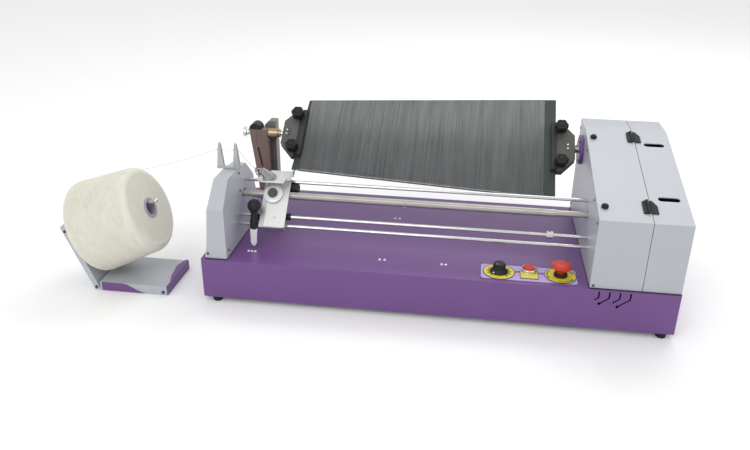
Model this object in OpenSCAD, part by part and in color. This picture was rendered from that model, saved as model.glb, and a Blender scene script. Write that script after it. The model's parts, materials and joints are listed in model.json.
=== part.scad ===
// Motorised yarn board winder with a separate package stand.
// X runs along the machine to the right, Y to the rear, Z up. The origin is on the
// table under the middle of the whole set. The modules below measure from the front left
// corner of the base box, and machine() moves what they draw to the origin.

/* [Base box] */
// Length of the base box
base_w = 916; // [880:1:960]
// Depth of the base box
base_d = 389; // [370:1:410]
// Height of the base box
base_h = 83; // [70:1:95]
// Height of the rubber feet under the box
foot_h = 12; // [8:1:20]
// Sheet thickness of the base and housings
sheet = 2; // [1.5:0.5:3]

/* [Drive housing] */
// Distance from the left end of the base to the drive housing
drive_x = 751; // [740:1:760]
// Width of the fixed part of the drive housing
drive_w = 94; // [88:1:98]
// Width of the hinged cover
cover_w = 69; // [64:1:70]
// Height of the front face above the base top
drive_front_h = 138; // [125:1:145]
// Height of the rear of the housing above the base top
drive_rear_h = 214; // [205:1:225]
// Depth of the sloping face
slope_d = 302; // [290:1:310]

/* [Board] */
// Length of the tapered board
board_len = 562; // [540:1:570]
// Width of the board at its narrow end
board_w_left = 186; // [170:1:200]
// Width of the board at its wide end
board_w_right = 254; // [230:1:260]
// Board thickness
board_t = 5; // [3:0.5:6]
// Angle of the board above horizontal at rest
board_tilt = 38; // [0:1:60]
// Height of the spindle axis above the base top
axis_h = 164.5; // [150:0.5:170]

/* [Traverse] */
// Travel of the carriage along the lead screw
travel = 500; // [450:1:505]
// Diameter of the lead screw
screw_d = 16; // [12:1:18]
// Diameter of the thin rods
rod_d = 7; // [5:0.5:8]
// Width of the carriage block
carriage_w = 50; // [44:1:56]

/* [Package stand] */
// Length of the yarn package along its axis
package_len = 142; // [125:1:150]
// Radius of the package at the arm
package_r_big = 98; // [80:1:100]
// Radius of the package at its nose
package_r_nose = 90; // [70:1:94]
// Lean of the stand arm from upright, and rise of the peg
peg_tilt = 22; // [15:1:26]

/* [Hidden] */
$fn = 64;
eps = 0.01;
base_z = foot_h;
top_z = foot_h + base_h;
drive_y = 5;
drive_d = base_d - drive_y - 1;
slope = atan2(drive_rear_h - drive_front_h, slope_d);
split_x = drive_x + drive_w;
cover_x = split_x + 1;
bearing_wall_x = split_x - 14;
hinge_x = split_x - 5;
hinge_lift = 3;
hinge_up = [50, 282];
axis_y = 318;
axis_z = top_z + axis_h;
board_x = 133;
post_y = 332;
left_x0 = 8;
left_x1 = 53;
rod_y = [154, 132, 104.5, 87.5];
rod_z = [209.5, 187.5, 152, 139];
rod_r = rod_d / 2;
screw_r = screw_d / 2;
rod_x0 = left_x1 - 22;
rod_x1 = drive_x + 25;
run = 0.05;
carriage_x = 100;
knob_at = [585, 40];
button_at = [642, 52];
estop_at = [701, 42];
stand_x = -227;
stand_y = 8;
stand_w = 145;
stand_d = 120;
stand_h = 20;
arm_len = 150;
nose_y = 70;
motor_y = 235;
motor_z = 165;
spindle_pulley_r = 34;
screw_pulley_r = 34;
motor_pulley_r = 17;
belt_x = [bearing_wall_x + 12, bearing_wall_x + 30];
journal_r = 7;
spindle_r = 8;
motor_shaft_r = 6;
flange_t = 8;
inlet_x = 860;
inlet_z = 45;
finger_x = [19, 52];
finger_y = 108;
eye_z = 288;
collar_x = carriage_x + carriage_w + travel + 23;
chuck_l = 40;
chuck_x = [board_x - chuck_l, board_x + board_len + chuck_l];
wound = [11, 538];
end_skew = [-5, 6];
wind_t = 1.2;
knob_w = 43.5;
nut_s = 65.8;
nut_n = 2.8;
disc_x = 122;
disc_s = 60.5;
lever_y = 90;
lever_z = 153.5;
inlet_from = [120.5, 123, 223.5];
inlet_to = [101.5, 112, 247.5];
arm_foot_z = 4;
peg_up = 113.5;
package_out = 14;
peg_lift = 9.9;
yarn_r = 0.7;
strand_from = [-169, 54.3, 246];
purple = [0.45, 0.30, 0.55];
grey = [0.80, 0.82, 0.84];
steel = [0.75, 0.75, 0.74];
black = [0.08, 0.08, 0.09];
cream = [0.88, 0.87, 0.80];

arm_t = 12;
round_big = 13;
round_nose = 17;
set_x0 = stand_x - arm_t * cos(peg_tilt) - arm_len * sin(peg_tilt);
set_y0 = nose_y - package_r_big;
wound_half = board_half(wound[1]) + wind_t;
set_y1 = axis_y + wound_half * cos(board_tilt) + (board_t / 2 + wind_t) * sin(board_tilt);

// half width of the board at a distance along it
function board_half(x) = (board_w_left + (board_w_right - board_w_left) * x / board_len) / 2;

// moves from the box's front left corner to the origin under the middle of the set
module machine() {
    translate([-(set_x0 + base_w) / 2, -(set_y0 + set_y1) / 2, 0]) children();
}

// side outline drawn in Y and Z, run along X from x by w
module along_x(x, w) {
    translate([x, 0, 0]) rotate([90, 0, 90]) linear_extrude(w) children();
}

// round bar along X
module bar_x(x, y, z, r, w) {
    translate([x, y, z]) rotate([0, 90, 0]) cylinder(r = r, h = w);
}

// places things square to the board: X along it, Y across it, Z off its face
module on_board() {
    translate([board_x, axis_y, axis_z]) rotate([board_tilt, 0, 0]) children();
}

// places things on the leaning carriage: Y up the slope, Z out of its face
module on_carriage() {
    translate([0, rod_y[3], rod_z[3]]) rotate([45, 0, 0]) children();
}

// places things on the sloping face of the drive housing, Y up the slope
module on_slope(x, y) {
    rise = (y - drive_y) * tan(slope);
    translate([x, y, top_z + drive_front_h + rise]) rotate([slope, 0, 0]) children();
}

// rounded rectangle centred on the origin
module rounded(w, d, r) {
    square([w - 2 * r, d], center = true);
    square([w, d - 2 * r], center = true);
    for (x = [-1, 1], y = [-1, 1]) translate([x * (w / 2 - r), y * (d / 2 - r)]) circle(r = r);
}

// outline of the drive housing seen from its end, drawn in by the amount given
module drive_outline(inset) {
    rise = drive_rear_h - drive_front_h;
    back = drive_y + drive_d - inset;
    front = drive_y + inset;
    drop = inset / cos(slope);
    low = top_z + drive_front_h - drop;
    fold = drive_y + slope_d - (drop - inset) / tan(slope);
    floor_z = inset > 0 ? top_z - 1 : top_z;
    polygon([[front, floor_z], [front, low + inset * tan(slope)], [fold, top_z + drive_rear_h - inset],
        [back, top_z + drive_rear_h - inset], [back, floor_z]]);
}

// holes for the rods and the lead screw, r_extra wider than what runs in them
module rod_holes(x, w, r_extra) {
    for (i = [0, 2, 3]) bar_x(x, rod_y[i], rod_z[i], rod_r + r_extra, w);
    bar_x(x, rod_y[1], rod_z[1], journal_r + r_extra, w);
}

module base_box() {
    color(purple) machine() difference() {
        translate([base_w / 2, base_d / 2, base_z]) linear_extrude(base_h) rounded(base_w, base_d, 4);
        translate([base_w / 2, base_d / 2, base_z - 1]) linear_extrude(base_h - sheet + 1)
            rounded(base_w - 2 * sheet, base_d - 2 * sheet, 2.5);
        translate([knob_at[0], knob_at[1], top_z - 5]) cylinder(r = 5, h = 10);
        translate([button_at[0], button_at[1], top_z - 5]) cylinder(r = 11, h = 10);
        translate([estop_at[0], estop_at[1], top_z - 5]) cylinder(r = 11, h = 10);
        translate([inlet_x - 23, base_d - 5, inlet_z - 13]) cube([46, 10, 26]);
        for (i = [0:3]) vent_slot(drive_x + 18 + 19 * i, 8 + (i % 2) * 10 + 3 * i, 1.4 + (i % 2) * 1.6);
        for (x = [drive_x + 20, left_x1 - 25]) translate([x, 200, top_z - 5]) cylinder(r = 7, h = 10);
    }
}

// short upright slot that bends down to the left, cut through the front sheet
module vent_slot(x, tail, tip) {
    translate([x - 1.4, -1, top_z - 16]) cube([2.8, 5, 13]);
    translate([x, -1, top_z - 16]) rotate([-90, 0, 0]) cylinder(r = 1.4, h = 5);
    translate([x, -1, top_z - 16]) rotate([0, -38, 0]) {
        translate([-tail, 0, -1.4]) cube([tail, 5, 2.8]);
        translate([-tail, 0, 0]) rotate([-90, 0, 0]) cylinder(r = tip, h = 5);
    }
}

module base_floor() {
    color(grey) machine() difference() {
        translate([base_w / 2, base_d / 2, base_z]) linear_extrude(1.5)
            rounded(base_w - 2 * sheet, base_d - 2 * sheet, 2.5);
        for (x = [120:60:780]) translate([x, base_d / 2 - 25, base_z - 1]) cube([4, 50, 4]);
    }
}

module base_feet() {
    color(black) machine() for (x = [25.5, base_w - 21.5], y = [13, base_d - 13])
        translate([x, y, 0]) difference() {
            cylinder(r1 = 9.5, r2 = 11, h = foot_h);
            translate([0, 0, -eps]) cylinder(r = 4, h = 5);
        }
}

// low screw head standing on the XY plane
module screw_head(r, h) {
    difference() {
        cylinder(r1 = r, r2 = r * 0.8, h = h);
        translate([0, 0, h - 0.8]) cylinder(r = r * 0.4, h = 2, $fn = 6);
    }
}

module machine_screws() {
    color(steel) machine() {
        for (p = [[84, 50], [91, 50], [98, 50], [358, 258], [368, 258], [351, 55], [361, 55], [474, 54],
                [482, 54], [372, 324]])
            translate([p[0], p[1], top_z]) screw_head(2.8, 1.8);
        for (p = [[112, 238], [113, 200], [142, 192], [20, 110], [200, 110]])
            translate([left_x1, p[0], p[1]]) rotate([0, 90, 0]) screw_head(2.6, 1.6);
        translate([15, 6, 106]) rotate([90, 0, 0]) screw_head(2.6, 1.6);
        for (p = [[378, 290], [249, 282], [83, 240], [16, 222], [378, 110]])
            translate([drive_x, p[0], p[1]]) rotate([0, -90, 0]) screw_head(2.6, 1.6);
        translate([drive_x + 6, drive_y, top_z + 6]) rotate([90, 0, 0]) screw_head(2.6, 1.6);
        for (a = [30:120:270]) translate([drive_x - flange_t, axis_y, axis_z]) rotate([a, 0, 0])
            translate([0, 0, 24]) rotate([0, -90, 0]) screw_head(3, 2);
        translate([stand_x + stand_w - 8, stand_y, 7]) rotate([90, 0, 0]) screw_head(3.5, 2);
        for (up = [6, arm_len - 12]) on_arm(-arm_t / 2, stand_y, up) rotate([90, 0, 0]) screw_head(3.2, 2);
    }
}

module drive_housing() {
    color(grey) machine() difference() {
        along_x(drive_x, drive_w) drive_outline(0);
        along_x(drive_x + sheet, drive_w) drive_outline(sheet);
        bar_x(drive_x - 1, axis_y, axis_z, 21, 5);
        rod_holes(drive_x - 1, 5, 0.05);
    }
}

module bearing_wall() {
    color(steel) machine() difference() {
        along_x(bearing_wall_x, 4) intersection() {
            drive_outline(sheet);
            translate([0, top_z]) square([base_d, 400]);
        }
        bar_x(bearing_wall_x - 1, axis_y, axis_z, spindle_r + run, 6);
        bar_x(bearing_wall_x - 1, rod_y[1], rod_z[1], journal_r + run, 6);
        bar_x(bearing_wall_x - 1, motor_y, motor_z, 13, 6);
        bar_x(bearing_wall_x - 1, 60, 140, 18, 6);
    }
}

module cover_bumpers() {
    color(black) machine() for (y = [44, 275]) on_slope(drive_x + 13, y) {
        cylinder(r = 6.5, h = 4);
        translate([0, 0, 4]) cylinder(r1 = 6.5, r2 = 4, h = 2.5);
    }
}

// part of the hinge barrel between two distances up the slope
module barrel(from, to) {
    translate([0, from, hinge_lift]) rotate([-90, 0, 0]) cylinder(r = 2.6, h = to - from);
}

module hinge_leaves() {
    color(black) machine() for (y = hinge_up) on_slope(hinge_x, y) {
        linear_extrude(2.4) polygon([[-9, -19], [-3.2, -19], [-3.2, 19], [-5, 19], [-9, 6]]);
        for (s = [-19, 8]) {
            translate([-4, s, 0]) cube([4, 11, 3]);
            barrel(s, s + 11);
        }
        translate([0, -19, hinge_lift]) rotate([-90, 0, 0]) cylinder(r = 1.2, h = 38);
    }
}

module cover_leaves() {
    color(black) machine() for (y = hinge_up) on_slope(hinge_x, y) difference() {
        union() {
            translate([0, 0, 0.3]) linear_extrude(2.4)
                polygon([[6.5, -19], [15, -19], [24, 2], [13, 19], [6.5, 16]]);
            translate([0, -7.7, 0.4]) cube([8, 15.4, 2.3]);
            barrel(-7.7, 7.7);
        }
        translate([0, -19, hinge_lift]) rotate([-90, 0, 0]) cylinder(r = 1.2 + run, h = 38);
    }
}

module drive_cover() {
    color(grey) machine() difference() {
        along_x(cover_x, cover_w) drive_outline(0);
        along_x(cover_x - 1, cover_w - sheet + 1) drive_outline(sheet);
        for (y = [78, 258]) on_slope(cover_x + 36, y) translate([0, 0, -6]) linear_extrude(12)
            rounded(40, 13, 6.45);
    }
}

// outline of the left housing seen from the front and from its end
module left_front(inset) {
    polygon([[left_x0 + inset, top_z - inset / 2], [13 + inset, top_z + 25], [20 + inset, 200],
        [25 + inset, 251], [left_x1 - inset, 251], [left_x1 - inset, top_z - inset / 2]]);
}

module left_side(inset) {
    polygon([[6 + inset, top_z - inset / 2], [6 + inset, 200 - inset * 0.4], [45 + inset * 0.5, 250 - inset],
        [104, 249.5 - inset], [160 - inset * 0.4, 244 - inset], [205 - inset * 0.8, 204 - inset * 0.5],
        [220 - inset, 158 - inset * 0.2], [220 - inset, top_z - inset / 2]]);
}

module left_solid(inset) {
    intersection() {
        translate([0, 300, 0]) rotate([90, 0, 0]) linear_extrude(400) left_front(inset);
        along_x(0, 100) left_side(inset);
    }
}

module left_housing() {
    color(grey) machine() difference() {
        left_solid(0);
        left_solid(sheet);
        rod_holes(left_x1 - 5, 10, 0.05);
    }
}

module finger(x) {
    translate([x, finger_y, 253]) difference() {
        intersection() {
            union() {
                cylinder(r1 = 8, r2 = 3.2, h = 47);
                translate([0, 0, 47]) sphere(r = 3.2);
            }
            translate([-10, -3.5, -1]) cube([20, 7, 60]);
        }
        translate([-10, 0, eye_z - 253]) rotate([0, 90, 0]) cylinder(r = 1.9, h = 20);
    }
    difference() {
        bar_x(x - 5, finger_y, eye_z, 1.9, 10);
        bar_x(x - 6, finger_y, eye_z, 1.1, 12);
    }
}

module yarn_fingers() {
    color(grey) machine() {
        translate([finger_x[0] - 7, finger_y - 6, 250]) cube([finger_x[1] - finger_x[0] + 14, 12, 3]);
        for (x = finger_x) finger(x);
    }
}

module guide_rods() {
    color(steel) machine() for (i = [0, 3]) bar_x(rod_x0, rod_y[i], rod_z[i], rod_r, rod_x1 - rod_x0);
}

module screw_bearings() {
    color(steel) machine() for (x = [left_x1 - sheet - 12, drive_x + sheet]) difference() {
        bar_x(x, rod_y[1], rod_z[1], 14, 12);
        bar_x(x - 1, rod_y[1], rod_z[1], journal_r + run, 14);
    }
}

module lead_screw() {
    color(steel) machine() {
        bar_x(38, rod_y[1], rod_z[1], journal_r, belt_x[1] + 14 - 38);
        bar_x(74, rod_y[1], rod_z[1], screw_r, 620);
    }
}

// toothless belt pulley with two flanges, standing on X at x
module pulley(x, y, z, r, bore) {
    difference() {
        union() {
            bar_x(x, y, z, r, 12);
            bar_x(x, y, z, r + 3, 1.5);
            bar_x(x + 10.5, y, z, r + 3, 1.5);
        }
        bar_x(x - 1, y, z, bore, 14);
        if (r > 25) for (a = [0:60:300]) translate([x - 1, y, z]) rotate([a, 0, 0])
            translate([0, 0, r * 0.62]) rotate([0, 90, 0]) cylinder(r = 5, h = 14);
    }
}

module screw_pulley() {
    color(black) machine() pulley(belt_x[1], rod_y[1], rod_z[1], screw_pulley_r, journal_r);
}

module spindle_pulley() {
    color(black) machine() pulley(belt_x[0], axis_y, axis_z, spindle_pulley_r, spindle_r);
}

module motor_pulley() {
    color(steel) machine() {
        bar_x(bearing_wall_x + 5, motor_y, motor_z, motor_shaft_r, belt_x[1] + 14 - bearing_wall_x - 5);
        for (x = belt_x) pulley(x, motor_y, motor_z, motor_pulley_r, motor_shaft_r);
    }
}

// flat belt loop between two pulleys of radii ra and rb, centres in Y and Z
module belt(x, a, ra, b, rb) {
    span = norm(b - a);
    lean = atan2(b[1] - a[1], b[0] - a[0]);
    open = acos((ra - rb) / span);
    translate([x, a[0], a[1]]) rotate([lean, 0, 0]) rotate([90, 0, 90]) linear_extrude(8) difference() {
        belt_outline(span, open, ra + 2, rb + 2);
        belt_outline(span, open, ra + 0.2, rb + 0.2);
    }
}

module belt_outline(span, open, ra, rb) {
    circle(r = ra);
    translate([span, 0]) circle(r = rb);
    // the straight runs start just inside the circles, so that they cross cleanly
    a = ra - 0.03;
    b = rb - 0.03;
    polygon([[a * cos(open), a * sin(open)], [span + b * cos(open), b * sin(open)],
        [span + b * cos(open), -b * sin(open)], [a * cos(open), -a * sin(open)]]);
}

module drive_belts() {
    color(black) machine() {
        belt(belt_x[0] + 2, [motor_y, motor_z], motor_pulley_r, [axis_y, axis_z], spindle_pulley_r);
        belt(belt_x[1] + 2, [motor_y, motor_z], motor_pulley_r, [rod_y[1], rod_z[1]], screw_pulley_r);
    }
}

module gear_motor() {
    color(black) machine() {
        bar_x(bearing_wall_x - 30, motor_y, motor_z, 32, 30);
        bar_x(bearing_wall_x - 74, motor_y, motor_z, 27, 44);
        difference() {
            bar_x(bearing_wall_x, motor_y, motor_z, 12.5, 4.5);
            bar_x(bearing_wall_x - 1, motor_y, motor_z, motor_shaft_r + run, 6);
        }
        translate([bearing_wall_x - 60, motor_y - 14, motor_z + 22]) cube([26, 28, 16]);
    }
}

module trip_rod() {
    color(steel) machine() {
        bar_x(rod_x0, rod_y[2], rod_z[2], rod_r, drive_x + 24 - rod_x0);
        difference() {
            bar_x(collar_x, rod_y[2], rod_z[2], 8, 12);
            translate([collar_x + 6, rod_y[2], rod_z[2] + 5]) cylinder(r = 2, h = 5);
        }
    }
}

module trip_switch() {
    color(black) machine() translate([drive_x + 29, rod_y[2] - 8, rod_z[2] - 8]) {
        cube([22, 16, 20]);
        translate([22, 2, 12]) cube([bearing_wall_x - drive_x - 51, 12, 3]);
        translate([-1.5, 6, 6]) cube([1.5, 4, 5]);
    }
}

module tail_post() {
    color(grey) machine() difference() {
        translate([46, post_y, top_z]) cube([26, 26, 188]);
        translate([46, post_y - 1, top_z + 178]) rotate([0, -45, 0]) translate([-10, 0, 0])
            cube([30, 28, 30]);
        translate([48.5, post_y + 2.5, top_z - 1]) cube([21, 21, 150]);
    }
}

module tail_bracket() {
    color([0.36, 0.29, 0.28]) machine() difference() {
        translate([0, post_y, 0]) rotate([90, 0, 0]) linear_extrude(28)
            polygon([[18, 270], [60, 270], [60, top_z], [38, top_z], [31, 168]]);
        bar_x(0, axis_y, axis_z, 5.05, 90);
        translate([0, post_y - 20, 0]) rotate([90, 0, 0]) linear_extrude(9)
            polygon([[34.6, 228], [38.6, 228], [47, 184], [43, 182]]);
        translate([33.4, post_y - 29, 234]) cube([1.2, 1.6, 37]);
    }
}

module tail_cap() {
    color(black) machine() translate([31.5, post_y, 270]) rotate([90, 0, 0]) intersection() {
        cylinder(r = 13.5, h = 28);
        translate([-20, 0, -1]) cube([40, 20, 30]);
    }
}

module tail_bush() {
    color([0.72, 0.60, 0.30]) machine() difference() {
        union() {
            bar_x(60, axis_y, axis_z, 12, 22);
            bar_x(82, axis_y, axis_z, 9, 5);
        }
        bar_x(59, axis_y, axis_z, 5.05, 30);
        translate([64, axis_y, axis_z - 13]) cylinder(r = 1.5, h = 5);
    }
}

module tail_spindle() {
    color(steel) machine() {
        bar_x(12, axis_y, axis_z, 5, chuck_x[0] - 0.6 - 12);
        bar_x(60, axis_y, axis_z, 4, chuck_x[0] + 13 - 60);
        bar_x(9, axis_y, axis_z, 7, 5);
        bar_x(2, axis_y, axis_z, 11.5, 7);
        bar_x(1, axis_y, axis_z, 5, 3);
    }
}

module spindle_flange() {
    color(purple) machine() difference() {
        union() {
            bar_x(drive_x - flange_t, axis_y, axis_z, 31, flange_t);
            bar_x(drive_x - 0.1, axis_y, axis_z, 20.9, 24);
        }
        bar_x(drive_x - 20, axis_y, axis_z, spindle_r + run, 60);
    }
}

module drive_spindle() {
    color(steel) machine() {
        bar_x(chuck_x[1] + 0.2, axis_y, axis_z, spindle_r, belt_x[0] + 14 - chuck_x[1]);
        bar_x(chuck_x[1] - 16, axis_y, axis_z, 4, 20);
    }
}

// stretch of the tapered board, wider by grow on both edges
module board_slab(x0, x1, grow, t) {
    a = board_half(x0) + grow;
    b = board_half(x1) + grow;
    translate([0, 0, -t / 2]) linear_extrude(t) polygon([[x0, -a], [x1, -b], [x1, b], [x0, a]]);
}

module board() {
    low = board_half(end_skew[0]);
    high = board_half(end_skew[1]);
    right = board_half(board_len);
    color([0.20, 0.24, 0.24]) machine() on_board() translate([0, 0, -board_t / 2]) linear_extrude(board_t)
        polygon([[end_skew[0], -low], [board_len, -right], [board_len, right], [end_skew[1], high]]);
}

module board_winding() {
    color([0.50, 0.53, 0.53]) machine() on_board() difference() {
        board_slab(wound[0], wound[1], wind_t, board_t + 2 * wind_t);
        board_slab(-10, board_len + 10, 0, board_t);
    }
}

// eight-sided chuck plate, its straight inner side over the board's end
module chuck_outline() {
    polygon([[10, -62], [10, 62], [-12, 62], [-chuck_l, 30], [-chuck_l, -30], [-12, -62]]);
}

// one chuck: side 1 is at the left end, -1 at the right end
module chuck(x, side) {
    translate([x, 0, 0]) mirror([side < 0 ? 1 : 0, 0, 0]) difference() {
        union() {
            translate([0, 0, -board_t / 2 - 5]) linear_extrude(5) chuck_outline();
            translate([0, 0, -board_t / 2]) linear_extrude(board_t)
                polygon([[-5, -56], [-5, 56], [-12, 56], [-chuck_l, 28], [-chuck_l, -28], [-12, -56]]);
            translate([0, 0, board_t / 2]) linear_extrude(5) chuck_outline();
            translate([-1, -60, board_t / 2 + 4.9]) cube([11, 120, 4.1]);
        }
        translate([-chuck_l - 1, 0, 0]) rotate([0, 90, 0]) cylinder(r = 4 + (side > 0 ? run : 0), h = 18);
        for (w = [-knob_w, knob_w]) translate([-10, w, -10]) cylinder(r = 3 + run, h = 20);
    }
}

module chuck_plates() {
    color([0.22, 0.22, 0.20]) machine() on_board() {
        chuck(0, 1);
        chuck(board_len, -1);
        for (x = [-25, board_len + 25], w = [-5, 5]) translate([x, w, board_t / 2 + 5]) screw_head(3, 1.6);
    }
}

// star knob with its stud, on the chuck at distance x along and w across the board
module star_knob(x, w) {
    color(black) machine() on_board() translate([x, w, board_t / 2 + 5.3]) {
        difference() {
            union() {
                cylinder(r = 8, h = 7);
                translate([0, 0, 6]) cylinder(r = 14.5, h = 13);
                translate([0, 0, 19]) cylinder(r1 = 14.5, r2 = 11.5, h = 3);
            }
            for (a = [0:60:300]) rotate(a) translate([17.5, 0, 5]) cylinder(r = 5, h = 20);
        }
        translate([0, 0, -16.5]) cylinder(r = 3, h = 18);
    }
}

module star_knob_1() { star_knob(-10, knob_w); }
module star_knob_2() { star_knob(-10, -knob_w); }
module star_knob_3() { star_knob(board_len + 10, knob_w); }
module star_knob_4() { star_knob(board_len + 10, -knob_w); }

module carriage_block() {
    color(grey) machine() difference() {
        union() {
            on_carriage() translate([carriage_x, -10, -11]) cube([carriage_w, 114, 24]);
            bar_x(carriage_x + carriage_w, 149, 197, 7.5, 16);
            bar_x(carriage_x + carriage_w, rod_y[2], rod_z[2], 6, 9);
        }
        rod_holes(0, 400, 0.06);
        bar_x(0, rod_y[1], rod_z[1], screw_r + 0.5, 400);
        on_carriage() translate([carriage_x + 12, nut_s - 14, -12]) cube([26, 28, 12 + nut_n]);
        bar_x(carriage_x - 1, lever_y, lever_z, 3 + run, 12);
    }
}

module carriage_plates() {
    color(steel) machine() {
        on_carriage() {
            translate([carriage_x + 11, -9, 13]) cube([43, 101, 3]);
            translate([disc_x, disc_s, 15.9]) cylinder(r = 3, h = 12.9);
            translate([131, 12, 16]) screw_head(3.5, 2);
        }
        translate([carriage_x + 4, 128, 222]) cube([50, 46, 3]);
        translate([0, 0, 225]) linear_extrude(3) difference() {
            union() {
                translate([103, 118]) circle(r = 14);
                translate([103, 104]) square([45, 28]);
            }
            translate([118.1, 121.6]) circle(r = 3);
        }
        translate([138, 112, 228]) screw_head(3.2, 2);
    }
}

// turns Z so that it points from a to b, and starts at a
module towards(a, b) {
    d = b - a;
    translate(a) rotate([0, acos(d[2] / norm(d)), atan2(d[1], d[0])]) children();
}

// wire ring on a bent stem, facing along X
module pigtail(x, y, z, foot_x) {
    translate([x, y, z]) rotate([0, 90, 0]) rotate_extrude() translate([4.5, 0]) circle(r = 1.1, $fn = 24);
    translate([x, y, 223.4]) cylinder(r = 1.1, h = z - 4.2 - 223.4, $fn = 24);
    bar_x(min(x, foot_x), y, 223.5, 1.1, abs(foot_x - x));
    translate([x, y, 223.5]) sphere(r = 1.1, $fn = 24);
}

module carriage_guides() {
    color(steel) machine() {
        pigtail(80, 143, 236, carriage_x + 3.9);
        pigtail(158, 150, 234, carriage_x + 54.1);
        difference() {
            union() {
                towards(inlet_from, inlet_to) cylinder(r1 = 12, r2 = 7.5, h = norm(inlet_to - inlet_from));
            }
            towards(inlet_from, inlet_to) translate([0, 0, -1]) cylinder(r = 2, h = 40);
            translate([90, 90, 208]) cube([60, 60, 20]);
        }
    }
}

module tension_discs() {
    color([0.93, 0.93, 0.92]) machine() on_carriage() translate([disc_x, disc_s, 0]) difference() {
        union() {
            translate([0, 0, 16.3]) cylinder(r1 = 12, r2 = 19.5, h = 2.7);
            translate([0, 0, 19]) cylinder(r = 12, h = 2);
            translate([0, 0, 20.5]) cylinder(r1 = 19.5, r2 = 12, h = 2.7);
        }
        translate([0, 0, 10]) cylinder(r = 3 + run, h = 20);
    }
}

module tension_nut() {
    color([0.30, 0.30, 0.31]) machine() on_carriage() translate([disc_x, disc_s, 23.6]) difference() {
        union() {
            cylinder(r = 10, h = 5);
            translate([0, 0, 5]) cylinder(r1 = 10, r2 = 8.5, h = 1.2);
        }
        translate([0, 0, -1]) cylinder(r = 3 + run, h = 6.4);
    }
}

module half_nut() {
    color([0.72, 0.60, 0.30]) machine() difference() {
        on_carriage() translate([carriage_x + 12.3, nut_s - 13.7, -13]) cube([25.4, 27.4, 12.8 + nut_n]);
        bar_x(0, rod_y[1], rod_z[1], screw_r + run, 400);
    }
}

module half_nut_lever() {
    color(black) machine() {
        bar_x(carriage_x - 9, lever_y, lever_z, 8, 6);
        bar_x(carriage_x - 9, lever_y, lever_z, 3, 18);
        translate([carriage_x - 9, lever_y - 16, lever_z - 4]) cube([6, 16, 8]);
        translate([carriage_x - 9, lever_y - 13.6, lever_z]) rotate([-11, 0, 0]) {
            translate([0, 0, 29]) sphere(r = 13);
            translate([0, 0, -4]) cylinder(r1 = 8.5, r2 = 10, h = 24);
            translate([0, 0, -25]) cylinder(r = 8.5, h = 21.1);
            translate([-7, -4, -46]) cube([14, 3, 26]);
            translate([0, -1, -46]) rotate([90, 0, 0]) linear_extrude(3)
                polygon([[-7, 0.1], [7, 0.1], [2, -9], [-4, -6]]);
        }
    }
}

module control_panel() {
    color([0.80, 0.76, 0.88]) machine() translate([0, 0, top_z]) linear_extrude(1) difference() {
        translate([641, 41]) rounded(186, 64, 10);
        translate(knob_at) circle(r = 5);
        translate(button_at) circle(r = 11);
        translate(estop_at) circle(r = 11);
    }
}

module legend_plates() {
    color([0.93, 0.83, 0.12]) machine() translate([0, 0, top_z + 1]) linear_extrude(1) {
        for (p = [knob_at, estop_at]) translate(p) difference() {
            circle(r = 30);
            circle(r = p == knob_at ? 5 : 11);
        }
        translate(button_at) difference() {
            union() {
                circle(r = 14);
                translate([-16.5, -31]) square([33, 30]);
            }
            circle(r = 11);
        }
    }
}

module control_bodies() {
    color(steel) machine() {
        translate([knob_at[0], knob_at[1], top_z - sheet - 22]) cylinder(r = 12, h = 22);
        translate([knob_at[0], knob_at[1], top_z - sheet - 1]) cylinder(r = 4.9, h = sheet + 5);
        translate([button_at[0], button_at[1], 0]) difference() {
            union() {
                translate([0, 0, top_z + 2]) cylinder(r1 = 16, r2 = 14.5, h = 4.6);
                translate([0, 0, top_z - 30]) cylinder(r = 10.9, h = 33);
                translate([-13, -13, top_z - 42]) cube([26, 26, 12]);
            }
            translate([0, 0, top_z - 20]) cylinder(r = 9.1, h = 40);
            translate([0, 0, top_z + 2.1]) cylinder(r = 11.9, h = 10);
        }
        translate([estop_at[0], estop_at[1], 0]) difference() {
            union() {
                translate([0, 0, top_z + 2]) cylinder(r = 13, h = 6.5);
                translate([0, 0, top_z - 30]) cylinder(r = 10.9, h = 33);
                translate([-13, -13, top_z - 42]) cube([26, 26, 12]);
            }
            translate([0, 0, top_z - 20]) cylinder(r = 8.1, h = 40);
        }
    }
}

module speed_knob() {
    color(black) machine() translate([knob_at[0], knob_at[1], top_z + 2.4]) difference() {
        union() {
            cylinder(r = 15, h = 3);
            translate([0, 0, 2]) cylinder(r = 11, h = 15);
        }
        translate([0, 0, -1]) cylinder(r = 5 + run, h = 4);
        translate([0, 7.5, 16.4]) cylinder(r = 1.5, h = 2);
        for (a = [0:30:330]) rotate(a) translate([11.6, 0, 5]) cylinder(r = 1.4, h = 20);
    }
}

module push_button() {
    color([0.80, 0.12, 0.12]) machine() translate([button_at[0], button_at[1], 0]) {
        translate([0, 0, top_z - 12]) cylinder(r = 9, h = 18);
        translate([0, 0, top_z + 5.2]) cylinder(r = 11.6, h = 3.4);
        translate([0, 0, top_z + 8.6]) cylinder(r1 = 11.6, r2 = 10.4, h = 0.7);
    }
}

module estop_head() {
    color([0.86, 0.20, 0.16]) machine() translate([estop_at[0], estop_at[1], 0]) {
        translate([0, 0, top_z - 12]) cylinder(r = 8, h = 31);
        translate([0, 0, top_z + 14]) cylinder(r1 = 14, r2 = 20, h = 6);
        translate([0, 0, top_z + 20]) cylinder(r = 20, h = 5);
        translate([0, 0, top_z + 25]) cylinder(r1 = 20, r2 = 14, h = 4);
    }
}

module power_supply() {
    color(grey) machine() translate([210, 240, base_z + 1.5]) difference() {
        cube([130, 70, 38]);
        for (x = [12:9:110]) translate([x, 12, 36]) cube([4, 46, 4]);
    }
}

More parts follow.
